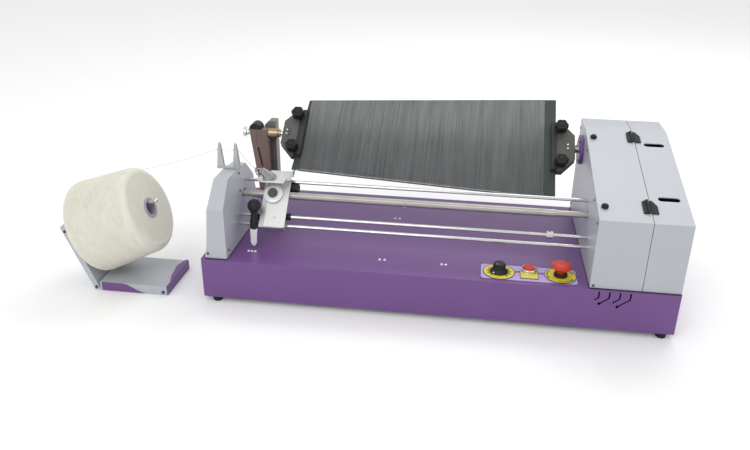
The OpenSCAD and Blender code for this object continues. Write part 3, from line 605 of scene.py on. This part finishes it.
BOARD_NORMAL = Vector(JOINTS["clamp_knob_1_turn"]["axis"]).normalized()
BOARD_ACROSS = BOARD_NORMAL.cross(Vector((1, 0, 0))).normalized()
SPINDLE_AT = Vector(JOINTS["board_spin"]["pos_m"])
WRAP_PITCH = 1.24 * MM
WRAP_R = 0.60 * MM
WRAP_JOG = 0.12 * MM
WRAP_SLACK = 0.05 * MM
CORNER_ACROSS = 0.0012
CORNER_OUT = 0.0009


def board_view(node):
    """A node's vertices from the spindle: along X, across the board and out of its face."""
    co = vertices_from(node, SPINDLE_AT)
    return co[:, 0], co @ np.array(BOARD_ACROSS), co @ np.array(BOARD_NORMAL)


def board_edges(node):
    """Ends of a board node along X, its half width at each end, and its half thickness."""
    x, across, out = board_view(node)
    lo, hi = x.min(), x.max()
    left = np.abs(across[x < lo + 0.002]).max()
    right = np.abs(across[x > hi - 0.002]).max()
    return lo, hi, left, right, np.abs(out).max()


def board_winding():
    """One yarn wound turn after turn round the tapered board."""
    lo, hi, left, right, thick = board_edges("board_winding")
    width = hi - lo - 2 * WRAP_R
    turns = int(width / WRAP_PITCH)
    points = []
    for k in range(turns):
        jog = random.uniform(-WRAP_JOG, WRAP_JOG)
        slack = random.uniform(-WRAP_SLACK, WRAP_SLACK)
        for step, (sx, sz) in enumerate(((-1, -1), (1, -1), (1, 1), (-1, 1))):
            for part in (0.0, 0.5, 1.0):
                f = (k + (step + part * 0.25) / 4) / turns
                x = lo + WRAP_R + f * width + jog
                half = left + (right - left) * (x - lo) / (hi - lo) - WRAP_R + slack
                turned = part if sx * sz > 0 else 1 - part
                across = half * sx - (1 - turned) * CORNER_ACROSS * sx
                out = (thick - WRAP_R) * sz - turned * CORNER_OUT * sz
                points.append(SPINDLE_AT + Vector((x, 0, 0)) + BOARD_ACROSS * across + BOARD_NORMAL * out)
    verts, faces = tube([tuple(p) for p in points], WRAP_R, 6)
    piece("board_winding_yarn", verts, faces, "grey_yarn", "board_set", replaces=("board_winding",))


board_winding()

# ---------------------------------------------------------------- yarn package

PEG_AXIS = Vector(JOINTS["package_turn"]["axis"]).normalized()
PEG_AT = Vector(JOINTS["package_turn"]["pos_m"])
PACKAGE_BORE = 21.0 * MM
END_RINGS = 26
END_DEPTH = 0.0003
RING_DEPTH = 0.0007
BODY_DEPTH = 0.0009
STROKES = 230
STROKE_STEPS = 30
STROKE_TURNS = 0.72
STROKE_SHIFT = 0.137
PACKAGE_YARN_R = 0.38 * MM


def package_profile():
    """Outline of the wound package as (radius, distance along the peg), from the arm to the nose."""
    along, out = spread("yarn_package", PEG_AT, PEG_AXIS)
    keep = out > 0.03
    pairs = sorted({(round(a, 5), round(r, 5)) for a, r in zip(along[keep], out[keep])})
    return [(r, a) for a, r in pairs]


def end_rings(r0, r1, z, inward):
    """The rings of each layer on one end of the package."""
    return [(r0 + (r1 - r0) * (i + part) / END_RINGS, z + inward * END_DEPTH + inward * sink)
            for i in range(END_RINGS) for part, sink in ((0.25, 0.0), (0.75, RING_DEPTH))]


def package():
    """The package's body with layer rings on its ends, and the yarn that crosses over its side."""
    outline = package_profile()
    z0, z1 = outline[0][1], outline[-1][1]
    zs = np.array([a for r, a in outline])
    rs = np.array([r for r, a in outline])
    move = turned_to(PEG_AXIS, PEG_AT)

    def radius_at(z):
        return float(np.interp(z, zs, rs))

    profile = [(PACKAGE_BORE, z0 + 0.0006)] + end_rings(PACKAGE_BORE, rs[0], z0, 1)
    profile += [(radius_at(z) - BODY_DEPTH, z) for z in np.linspace(z0, z1, 90)[1:-1]]
    profile += end_rings(rs[-1], PACKAGE_BORE, z1, -1) + [(PACKAGE_BORE, z1 - 0.0006)]
    heap = lathe(profile, 128, move)
    piece("package_body", heap.verts, heap.faces, "cream_yarn", "package", replaces=("yarn_package",))

    points = []
    angle = 0.0
    for k in range(STROKES):
        a0 = z0 + random.uniform(4, 12) * MM
        a1 = z1 - random.uniform(5, 14) * MM
        if k % 2:
            a0, a1 = a1, a0
        for i in range(STROKE_STEPS):
            z = a0 + (a1 - a0) * (i / STROKE_STEPS)
            angle += 2 * math.pi * STROKE_TURNS / STROKE_STEPS
            lift = radius_at(z) - BODY_DEPTH + PACKAGE_YARN_R * random.uniform(0.4, 0.75)
            points.append((lift * math.cos(angle), lift * math.sin(angle), z))
        angle += STROKE_SHIFT
    heap = Heap()
    heap.add(*tube(points, PACKAGE_YARN_R, 5), move)
    piece("package_yarn", heap.verts, heap.faces, "cream_yarn", "package")


package()

# ---------------------------------------------------------------- running yarn

YARN_R = 0.7 * MM
EYE_Z = 288.0
FINGERS = (19.0, 52.0)
FINGER_Y = 108.0


def sag_line(a, b, sag, n):
    """Points on a line that hangs by sag at its middle."""
    a, b = np.array(a, float), np.array(b, float)
    return [a + (b - a) * i / n - np.array([0, 0, sag * 4 * (i / n) * (1 - i / n)]) for i in range(n + 1)]


def to_frame(points):
    return [tuple(at(*p)) for p in points]


def running_yarn():
    """The yarn from package to fingers, from fingers to carriage, and on the carriage."""
    supply = sag_line((-169, 54.3, 246), (FINGERS[0] - 8, FINGER_Y, EYE_Z - 0.5), 5, 24)
    supply += [np.array(p, float) for p in ((FINGERS[0], FINGER_Y, EYE_Z), (35.5, FINGER_Y, EYE_Z),
                                            (FINGERS[1], FINGER_Y, EYE_Z),
                                            (FINGERS[1] + 6, FINGER_Y, EYE_Z - 0.4))]
    heap = Heap()
    twisted_yarn(to_frame(supply), YARN_R, heap)
    piece("supply_yarn", heap.verts, heap.faces, "cream_yarn", "frame", replaces=("yarn_strand",))

    lead = sag_line((FINGERS[1] + 6.2, FINGER_Y, EYE_Z - 0.5), (79, 142.6, 237), 1, 12)
    lead += [np.array(p, float) for p in ((82, 142.4, 237.4), (90, 129, 244), (96.5, 114.5, 250.5),
                                          (99.5, 111, 250), (101.5, 112, 247.5))]
    heap = Heap()
    twisted_yarn(to_frame(lead), YARN_R, heap)
    o = piece("leading_yarn", heap.verts, heap.faces, "cream_yarn", None, replaces=("yarn_tail",))
    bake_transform(o)

    heap = Heap()
    for route in (((101.5, 112, 247.5), (110, 116.9, 236.8), (118.1, 121.6, 226.5), (119.6, 127, 218),
                   (120, 131.2, 212.4)),
                  ((136, 128, 209), (148, 125, 218), (151, 125.5, 227), (153.5, 142, 233.5),
                   (158, 150, 234.2), (164, 158, 236))):
        twisted_yarn(softened(to_frame(route), 2), YARN_R, heap)
    piece("carriage_yarn", heap.verts, heap.faces, "cream_yarn", "carriage")


running_yarn()

# ---------------------------------------------------------------- lead screw

THREAD_PITCH = 2.0 * MM
THREAD_DEPTH = 0.38 * MM
THREAD_SHAPE = (0.0, 0.55, 1.0, 0.55)
ROWS_PER_TURN = 4


def lead_screw():
    """A screw whose thread is one helical surface, with plain journals at both ends."""
    lo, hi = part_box("lead_screw")
    centre = Vector(JOINTS["screw_spin"]["pos_m"])
    x0, x1 = at(74, 0, 0).x, at(689, 0, 0).x
    crest = (hi.z - lo.z) / 2
    journal = crest - 1.7 * MM
    sides = 28
    rows = int((x1 - x0) / THREAD_PITCH * ROWS_PER_TURN) + 1
    verts, faces = [], []
    edge = 0.15 * MM
    ends = ((lo.x, journal * 0.85), (lo.x, journal * 0.92), (lo.x + 0.8 * MM, journal),
            (lo.x + 1.2 * MM, journal), (x0 - edge, journal), (x0, journal), (x0, journal + edge),
            (x0, crest - 0.5 * MM))

    def corner(x, r, i):
        a = 2 * math.pi * i / sides
        verts.append((x, centre.y + r * math.cos(a), centre.z + r * math.sin(a)))

    def ring(x, r):
        for i in range(sides):
            corner(x, r, i)

    def met_row(k, at_seam):
        """The row that meets row k: a full turn further on where the thread crosses the seam."""
        if at_seam and first_thread <= k <= last_thread:
            return min(k + ROWS_PER_TURN, last_thread)
        return k

    for x, r in ends:
        ring(x, r)
    for k in range(rows):
        for i in range(sides):
            x = x0 + THREAD_PITCH * (k / ROWS_PER_TURN + i / sides)
            x = min(max(x, x0 + 0.2 * MM), x1 - 0.2 * MM)
            corner(x, crest - THREAD_DEPTH * THREAD_SHAPE[k % ROWS_PER_TURN], i)
    for x, r in ((x1, crest - 0.5 * MM), (x1, journal + edge), (x1, journal), (x1 + edge, journal),
                 (hi.x - 1.2 * MM, journal), (hi.x - 0.8 * MM, journal), (hi.x, journal * 0.92),
                 (hi.x, journal * 0.85)):
        ring(x, r)
    n = len(verts) // sides
    first_thread, last_thread = len(ends), len(ends) + rows - 1
    for k in range(n - 1):
        for i in range(sides):
            j = (i + 1) % sides
            a, b = met_row(k, j == 0), met_row(k + 1, j == 0)
            if a != b:
                faces.append((k * sides + i, a * sides + j, b * sides + j, (k + 1) * sides + i))
    faces.append(tuple(range(sides)))
    faces.append(tuple(range((n - 1) * sides, n * sides))[::-1])
    piece("lead_screw_threaded", verts, [f[::-1] for f in faces], "machined_steel", "screw_set",
          replaces=("lead_screw",))


lead_screw()

# ---------------------------------------------------------------- knobs and controls


def star_knobs():
    """Six-lobed clamping knobs with a dished top and a steel stud end."""
    def lobes(a, r, z):
        return 1.0 - (0.12 * (0.5 - 0.5 * math.cos(6 * a)) ** 1.4 if r > 9.5 else 0.0)

    for i in range(1, 5):
        node = f"star_knob_{i}"
        joint = JOINTS[f"clamp_knob_{i}_turn"]
        top = float(spread(node, joint["pos_m"], joint["axis"])[0].max()) / MM
        move = millimetres(turned_to(joint["axis"], joint["pos_m"]))
        profile = rounded_profile([(0, top - 22), (7.8, top - 22), (8.0, top - 16), (13.6, top - 15.4),
                                   (14.5, top - 13), (14.5, top - 3.4), (12.2, top), (7.4, top - 0.2),
                                   (7.0, top - 1.0), (6.2, top - 1.0), (6.0, top + 0.1), (0, top + 0.4)], 1.2)
        heap = lathe(profile, 96, move, squash_fn=lobes)
        piece(f"clamp_knob_{i}", heap.verts, heap.faces, "black_plastic", f"clamp_knob_{i}",
              replaces=(node,))
        heap = lathe([(0, top - 38.4), (2.6, top - 38.4), (3.0, top - 37.8), (3.0, top - 21.8),
                      (0, top - 21.8)], 24, move)
        piece(f"clamp_stud_{i}", heap.verts, heap.faces, "machined_steel", f"clamp_knob_{i}")


star_knobs()

KNOB = (585.0, 40.0)
BUTTON = (642.0, 52.0)
STOP = (701.0, 42.0)
TOP_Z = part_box("base_box")[1].z / MM


def flat_place(x, y, z=0.0):
    """Lets a shape drawn in millimetres be placed at a point from the base's corner."""
    return millimetres(Matrix.Translation(at(x, y, z)))


def speed_dial():
    """Fluted speed knob with a white dot on its skirt and a line on its top."""
    move = flat_place(*KNOB, TOP_Z + 2.4)

    def flutes(a, r, h):
        return 1.0 - (0.055 * (0.5 - 0.5 * math.cos(16 * a)) if 7.0 < h < 17.6 and r > 9 else 0.0)

    profile = rounded_profile([(0, 0), (17.4, 0), (17.4, 1.6), (13.8, 5.6), (12.2, 7.6), (11.6, 16.6),
                               (10.4, 18.2), (0, 18.2)], 0.8)
    heap = lathe(profile, 128, move, squash_fn=flutes)
    piece("speed_knob_fluted", heap.verts, heap.faces, "black_plastic", "speed_dial",
          replaces=("speed_knob",))
    heap = Heap()
    tilt = (move @ Matrix.Rotation(math.radians(-130), 4, "Z") @ Matrix.Translation((15.9, 0, 2.9))
            @ Matrix.Rotation(math.radians(42), 4, "Y"))
    lathe(rounded_profile([(0, -0.8), (1.5, -0.8), (1.5, 0.75), (0, 0.9)], 0.3), 24, tilt, heap)
    slab([(-0.4, 4.6), (0.4, 4.6), (0.4, 9.0), (-0.4, 9.0)], 17.8, 18.3, heap,
         move @ Matrix.Rotation(math.radians(140), 4, "Z"))
    piece("speed_pointer", heap.verts, heap.faces, "black_plastic", "speed_dial", looks="white_print")


def dial_marks():
    """Tick marks round the speed dial, and arrows that show which way the stop head releases."""
    heap = Heap()
    z0, z1 = 2.0, 2.12
    ticks, first_tick, tick_step = 41, 230, 7.0
    move = flat_place(*KNOB, TOP_Z)
    for i in range(ticks):
        a = math.radians(first_tick - tick_step * i)
        major = i % 4 == 0
        r0, r1, w = 18.0, 25.0 if major else 22.0, 1.6 if major else 0.9
        d, s = Vector((math.cos(a), math.sin(a))), Vector((-math.sin(a), math.cos(a)))
        corners = [d * r0 - s * w / 2, d * r1 - s * w / 2, d * r1 + s * w / 2, d * r0 + s * w / 2]
        slab([(c.x, c.y) for c in corners], z0, z1, heap, move)
    band(circle(0, 0, 17.4), circle(0, 0, 16.8), z0, z1, heap, move)
    move = flat_place(*STOP, TOP_Z)
    for start in (20, 140, 260):
        outer = [polar(26.2, start + t) for t in range(0, 61, 5)]
        inner = [polar(24.2, start + t) for t in range(60, -1, -5)]
        slab(outer + inner, z0, z1, heap, move)
        slab([polar(28.2, start + 60), polar(25.2, start + 74), polar(22.2, start + 60)], z0, z1, heap, move)
    piece("legend_marks", heap.verts, heap.faces, "black_plastic", "frame", smooth=False, looks="black_print")


def panel_lines():
    """The dark border of the panel and the lines that join its controls."""
    heap = Heap()
    move = flat_place(0, 0, TOP_Z)
    lo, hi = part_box("control_panel")
    cx, cy = middle(lo, hi, 0), middle(lo, hi, 1)
    w, d = (hi.x - lo.x) / MM, (hi.y - lo.y) / MM
    sunk, film_top, tag_top, line = 0.9, 1.12, 2.12, 1.5
    band(round_rect(cx, cy, w - 0.4, d - 0.4, 9.8), round_rect(cx, cy, w - 5, d - 5, 7.5), sunk, film_top,
         heap, move)
    for x, y in (KNOB, STOP):
        band(circle(x, y, 30.3), circle(x, y, 28.9), sunk, tag_top, heap, move)
    tag_x, tag_y = BUTTON[0], BUTTON[1] - 16
    band(round_rect(tag_x, tag_y, 34, 31, 1.0), round_rect(tag_x, tag_y, 32, 29, 0.5), sunk, tag_top,
         heap, move)
    for x0, x1 in ((KNOB[0] + 30, BUTTON[0] - 14), (BUTTON[0] + 14, STOP[0] - 30)):
        for lift in (-3.5, 3.5):
            bow = [(x0 + (x1 - x0) * i / 12, 46 + lift * math.cos(math.pi * i / 12)) for i in range(13)]
            outline = [(x, y - line) for x, y in bow] + [(x, y + line) for x, y in bow[::-1]]
            slab(outline, sunk, film_top, heap, move)
    piece("panel_outline", heap.verts, heap.faces, "panel_print", "frame", smooth=False,
          looks="outline_print")


def buttons():
    """Push button and its ring, stop head and its collar, and the switch bodies under the base top."""
    move = flat_place(*BUTTON, TOP_Z)
    heap = lathe(rounded_profile([(9.1, -19), (9.1, 2.1), (11.9, 2.1), (11.9, 8.4), (14.2, 8.6),
                                  (15.6, 7.4), (15.2, 5.6), (15.0, 3.2), (16.0, 2.6), (16.0, 2.05),
                                  (10.9, 2.0), (10.9, -30), (9.1, -30), (9.1, -19)], 0.5), 96, move)
    piece("button_bezel", heap.verts, heap.faces, "bright_steel", "frame", replaces=("control_bodies",))
    heap = lathe(rounded_profile([(0, -12), (8.9, -12), (9.0, 5.3), (11.6, 5.5), (11.6, 9.8),
                                  (10.6, 11.0), (7, 11.2), (0, 10.8)], 0.7), 72, move)
    piece("button_cap", heap.verts, heap.faces, "red_plastic", "start_button", replaces=("push_button",))
    move = flat_place(*STOP, TOP_Z)
    heap = lathe(rounded_profile([(8.1, -19), (8.1, 8.5), (11.0, 8.5), (12.4, 7.6), (13.0, 6.4), (13.0, 2.05),
                                  (10.9, 2.0), (10.9, -30), (8.1, -30), (8.1, -19)], 0.5), 96, move)
    for x, y in (BUTTON, STOP):
        slab(round_rect(x, y, 26, 26, 2), TOP_Z - 42, TOP_Z - 30, heap, flat_place(0, 0))
        for s in (-1, 1):
            slab(round_rect(x + s * 8, y, 5, 20, 1), TOP_Z - 45, TOP_Z - 42, heap, flat_place(0, 0))
    dial = flat_place(*KNOB, TOP_Z)
    lathe([(0, -28), (12, -28), (12, -4), (10, -3.1), (0, -3.1)], 48, dial, heap)
    lathe([(0, -3.2), (4.9, -3.2), (4.9, 2.0), (0, 2.0)], 32, dial, heap)
    piece("switch_bodies", heap.verts, heap.faces, "black_plastic", "frame")
    heap = lathe(rounded_profile([(0, -12), (7.8, -12), (8.0, 14.0), (12.0, 14.3), (19.2, 20.8), (20.0, 22.4),
                                  (19.2, 25.0), (14.5, 27.8), (7.0, 28.8), (0, 29.0)], 1.4, 5), 96, move)
    piece("stop_mushroom", heap.verts, heap.faces, "red_plastic", "stop_button", replaces=("estop_head",))


speed_dial()
dial_marks()
panel_lines()
buttons()


def tension_post_nut():
    """Knurled nut on the end of the tension post, and the post's own end."""
    joint = JOINTS["disc_nut_turn"]
    along = spread("tension_nut", joint["pos_m"], joint["axis"])[0]
    lo, hi = float(along.min()) / MM, float(along.max()) / MM
    move = millimetres(turned_to(joint["axis"], joint["pos_m"]))

    def knurl(a, r, z):
        return 1.0 - (0.05 * (0.5 - 0.5 * math.cos(36 * a)) if r > 9.0 else 0.0)

    profile = rounded_profile([(3.05, lo), (9.2, lo), (10.0, lo + 0.8), (10.0, hi - 1.4), (8.8, hi),
                               (5.4, hi), (4.8, hi - 0.5), (0, hi - 0.5)], 0.4)
    heap = lathe(profile, 216, move, squash_fn=knurl)
    piece("tension_nut_knurled", heap.verts, heap.faces, "machined_steel", "disc_nut",
          replaces=("tension_nut",), looks="dark_paint")


tension_post_nut()


def mains_pins():
    """The three flat pins inside the mains inlet."""
    lo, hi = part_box("mains_inlet")
    cx, cz = middle(lo, hi, 0), middle(lo, hi, 2)
    y1 = (hi.y - CORNER.y) / MM - 4
    heap = Heap()
    for dx, dz in ((-7, -2), (7, -2), (0, 3.5)):
        outline = round_rect(cx + dx, cz + dz, 4.0, 2.0, 0.6, 3)
        slab(outline, y1 - 14, y1, heap, flat_place(0, 0) @ standing())
    piece("mains_pins", heap.verts, heap.faces, "brass_parts", "frame", smooth=False, looks="contact_brass",
          finish=0.2)


mains_pins()


def release_lever():
    """Ball grip, its hub and the bright strip below it that hooks over the rod."""
    pivot = flat_place(91, 90, 153.5)
    hand = flat_place(91, 76.4, 153.5) @ Matrix.Rotation(math.radians(-11), 4, "X")
    heap = lathe(rounded_profile([(0, 0), (8, 0), (8, 6), (3, 6), (3, 18), (0, 18)], 0.4), 40, pivot @ ALONG_X)
    slab([(0, -16), (6, -16), (6, 0), (0, 0)], -4, 4, heap, pivot)
    ball_r, ball_z = 13.6, 29
    ball = [(ball_r * math.sin(math.radians(a)), ball_z - ball_r * math.cos(math.radians(a)))
            for a in range(36, 181, 8)]
    profile = [(0, -19), (6.0, -19), (7.6, -17.5), (8.2, -13), (8.2, -2), (7.4, 4), (6.8, 12), (7.2, 16.5)]
    lathe(rounded_profile(profile, 0.8)[:-1] + ball[:-1] + [(0, 42.6)], 56, hand, heap)
    piece("lever_grip", heap.verts, heap.faces, "black_plastic", "nut_lever",
          replaces=("half_nut_lever",))
    heap = Heap()
    strip = [(-8, -17), (8, -17), (6.4, -38), (7.4, -46), (2.2, -54.5), (-4, -51.5), (-6.4, -45),
             (-6, -38)]
    slab(strip, 0.2, 2.6, heap, hand @ standing(y=-4.0))
    piece("lever_strip", heap.verts, heap.faces, "black_plastic", "nut_lever", smooth=False,
          looks="strip_steel", finish=0.3)


def block_sleeves():
    """Black sleeves over the carriage block's two right-hand bushes."""
    heap = Heap()
    for x, y, z, bore, r, length in ((150.5, 149, 197, 7.6, 10.0, 17.5), (150.5, 104.5, 152, 6.1, 7.2, 9.5)):
        lip = bore - 1.5
        profile = rounded_profile([(bore, 0), (r, 0), (r, length), (lip, length), (lip, length - 0.6),
                                   (bore, length - 0.6), (bore, 0)], 0.8)
        lathe(profile, 48, flat_place(x, y, z) @ ALONG_X, heap)
    piece("block_sleeves", heap.verts, heap.faces, "black_plastic", "carriage")


def chuck_screws():
    """Bright socket screws in the middle of each chuck."""
    along, across, out = board_view("chuck_plates")
    board_lo, board_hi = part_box("board")
    beyond, apart, reach = 25 * MM, 5 * MM, 4 * MM
    heap = Heap()
    for x in (board_lo.x - beyond, board_hi.x + beyond):
        for w in (-apart, apart):
            near = (np.abs(along + SPINDLE_AT.x - x) < reach) & (np.abs(across - w) < reach)
            if not near.any():
                continue
            top = out[near].max()
            where = Vector((x, SPINDLE_AT.y, SPINDLE_AT.z)) + BOARD_ACROSS * w + BOARD_NORMAL * top
            move = millimetres(turned_to(BOARD_NORMAL, where))
            profile = [(2.3, -0.5), (2.4, 0.8), (1.9, 1.1), (1.1, 1.1), (1.0, 0.3), (0, 0.3)]
            lathe(rounded_profile(profile, 0.2), 24, move, heap)
    piece("chuck_screws", heap.verts, heap.faces, "bright_steel", "board_set", looks="screw_steel")


def cover_hinges():
    """The leaves that move with the cover, each with its middle knuckle, and wider fixed leaves."""
    joint = JOINTS["cover_hinge"]
    axis = Vector(joint["axis"]).normalized()
    if axis.y < 0:
        axis = -axis
    origin = Vector(joint["pos_m"])
    out = Vector((1, 0, 0)).cross(axis).normalized()
    along = vertices_from("cover_leaves", origin) @ np.array(axis)
    between = (along.min() + along.max()) / 2
    moving, fixed = Heap(), Heap()
    for part in (along[along < between], along[along > between]):
        centre = origin + axis * float((part.min() + part.max()) / 2) - out * 3 * MM
        flat = Matrix.Translation(centre) @ Matrix((Vector((1, 0, 0)), axis, out)).transposed().to_4x4()
        move = millimetres(flat)
        slab([(4.2, -19), (17, -19), (17, 3), (9, 19), (4.2, 19)], 0.3, 2.7, moving, move)
        slab([(2.0, -7.7), (7, -7.7), (7, 7.7), (2.0, 7.7)], 0.5, 2.7, moving, move)
        lathe([(0, -7.7), (2.6, -7.7), (2.6, 7.7), (0, 7.7)], 28, move @ standing(z=3), moving)
        slab([(-9, -19), (-3.3, -19), (-3.3, 19), (-9, 16)], 0.02, 2.42, fixed, move)
    piece("cover_hinge_leaves", moving.verts, moving.faces, "black_plastic", "cover", smooth=False,
          replaces=("cover_leaves",), looks="hinge_plastic", finish=0.3)
    piece("fixed_hinge_leaves", fixed.verts, fixed.faces, "black_plastic", "frame", smooth=False,
          looks="hinge_plastic", finish=0.3)


def guide_rings():
    """The cone-shaped inlet tube and the two wire rings that lead the yarn over the carriage."""
    start, end = Vector(at(120.5, 123, 223.5)), Vector(at(101.5, 112, 247.5))
    move = turned_to(end - start, start)
    length = (end - start).length
    profile = [(0, 0.001), (0.0119, 0.001), (0.0112, length * 0.35), (0.0082, length * 0.78),
               (0.0071, length - 0.0006), (0.0066, length), (0.0030, length), (0.0021, length - 0.0006),
               (0.0021, length - 0.012), (0, length - 0.012)]
    heap = lathe(rounded_profile(profile, 0.0009, 5), 72, move)
    floor = at(0, 0, 228.05).z
    along = (end - start).normalized()
    heap.verts = [tuple(Vector(v) + along * max(0.0, (floor - v[2]) / along.z)) if v[2] < floor else v
                  for v in heap.verts]
    wire = 1.1 * MM
    for x, y, z, foot in ((80, 143, 236, 103.9), (158, 150, 234, 154.1)):
        ring = [tuple(at(x, *p)) for p in circle(y, z, 4.5, 40)]
        heap.add(*tube(ring, wire, 12, closed=True, cap=False))
        stem = softened([tuple(at(x, y, z - 4.3)), tuple(at(x, y, 223.5)), tuple(at(foot, y, 223.5))], 4)
        heap.add(*tube(stem, wire, 12))
    piece("yarn_guides", heap.verts, heap.faces, "bright_steel", "carriage", replaces=("carriage_guides",),
          looks="guide_metal")


def housing_shade_strips():
    """Thin dark strips round the feet of the two housings: painted shade where they meet the base top, not real
    seals.
    """
    heap = Heap()
    for names in (("drive_housing", "drive_cover"), ("left_housing",)):
        boxes = [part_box(n) for n in names]
        x0, y0 = ((min(b[0][k] for b in boxes) - CORNER[k]) / MM for k in (0, 1))
        x1, y1 = ((max(b[1][k] for b in boxes) - CORNER[k]) / MM for k in (0, 1))
        cx, cy, w, d = (x0 + x1) / 2, (y0 + y1) / 2, x1 - x0, y1 - y0
        band(round_rect(cx, cy, w + 1.6, d + 1.6, 1.0), round_rect(cx, cy, w + 0.04, d + 0.04, 0.3),
             TOP_Z + 0.02, TOP_Z + 1.5, heap, flat_place(0, 0))
    # these black strips are painted shade along the housings' feet, not a part of the machine
    piece("housing_shade_strips", heap.verts, heap.faces, "black_rubber", "frame", smooth=False)


release_lever()
block_sleeves()
guide_rings()
chuck_screws()
cover_hinges()
housing_shade_strips()

# ---------------------------------------------------------------- stage and light


FLOOR_HALF = 30.0
WORLD_STRENGTH = 0.87


def stage():
    """A white floor, and a world that is white but darker low on the camera's side."""
    verts = [(x * FLOOR_HALF, y * FLOOR_HALF, 0) for x, y in ((-1, -1), (1, -1), (1, 1), (-1, 1))]
    mesh = bpy.data.meshes.new("floor")
    mesh.from_pydata(verts, [], [(0, 1, 2, 3)])
    floor = bpy.data.objects.new("floor", mesh)
    bpy.context.scene.collection.objects.link(floor)
    mesh.materials.append(surface("floor_paper", (0.97, 0.97, 0.97), 0.85, mottle=0.005, grain=300.0,
                                  specular=0.1))

    world = bpy.data.worlds.new("world")
    bpy.context.scene.world = world
    world.use_nodes = True
    tree = world.node_tree
    coords = tree.nodes.new("ShaderNodeTexCoord")
    parts = tree.nodes.new("ShaderNodeSeparateXYZ")
    ramp = tree.nodes.new("ShaderNodeValToRGB")
    tree.links.new(coords.outputs["Generated"], parts.inputs["Vector"])
    ahead = tree.nodes.new("ShaderNodeMapRange")
    ahead.inputs["From Min"].default_value = -0.45
    ahead.inputs["From Max"].default_value = -0.05
    tree.links.new(parts.outputs["Y"], ahead.inputs["Value"])
    lifted = tree.nodes.new("ShaderNodeMath")
    lifted.operation = "ADD"
    tree.links.new(ahead.outputs["Result"], lifted.inputs[0])
    tree.links.new(parts.outputs["Z"], lifted.inputs[1])
    tree.links.new(lifted.outputs[0], ramp.inputs["Fac"])
    ramp.color_ramp.elements[0].position = 0.0
    ramp.color_ramp.elements[0].color = (0.38, 0.38, 0.40, 1.0)
    ramp.color_ramp.elements[1].position = 0.42
    ramp.color_ramp.elements[1].color = (1.0, 1.0, 1.0, 1.0)
    back = tree.nodes["Background"]
    tree.links.new(ramp.outputs["Color"], back.inputs["Color"])
    back.inputs["Strength"].default_value = WORLD_STRENGTH
    bpy.context.scene.view_settings.view_transform = "Standard"
    bpy.context.scene.view_settings.look = "None"


def soft_light(name, where, target, size, power):
    """A white rectangular lamp that faces a point."""
    data = bpy.data.lights.new(name, "AREA")
    data.shape = "RECTANGLE"
    data.size, data.size_y = size
    data.energy = power
    light = bpy.data.objects.new(name, data)
    light.location = where
    light.rotation_euler = (Vector(target) - Vector(where)).to_track_quat("-Z", "Y").to_euler()
    bpy.context.scene.collection.objects.link(light)


stage()
soft_light("key", (-0.8, -2.6, 2.2), (0, 0, 0.1), (1.8, 1.4), 27.0)
soft_light("back", (0.9, 1.7, 2.4), (0.4, 0, 0.2), (1.8, 1.2), 22.0)
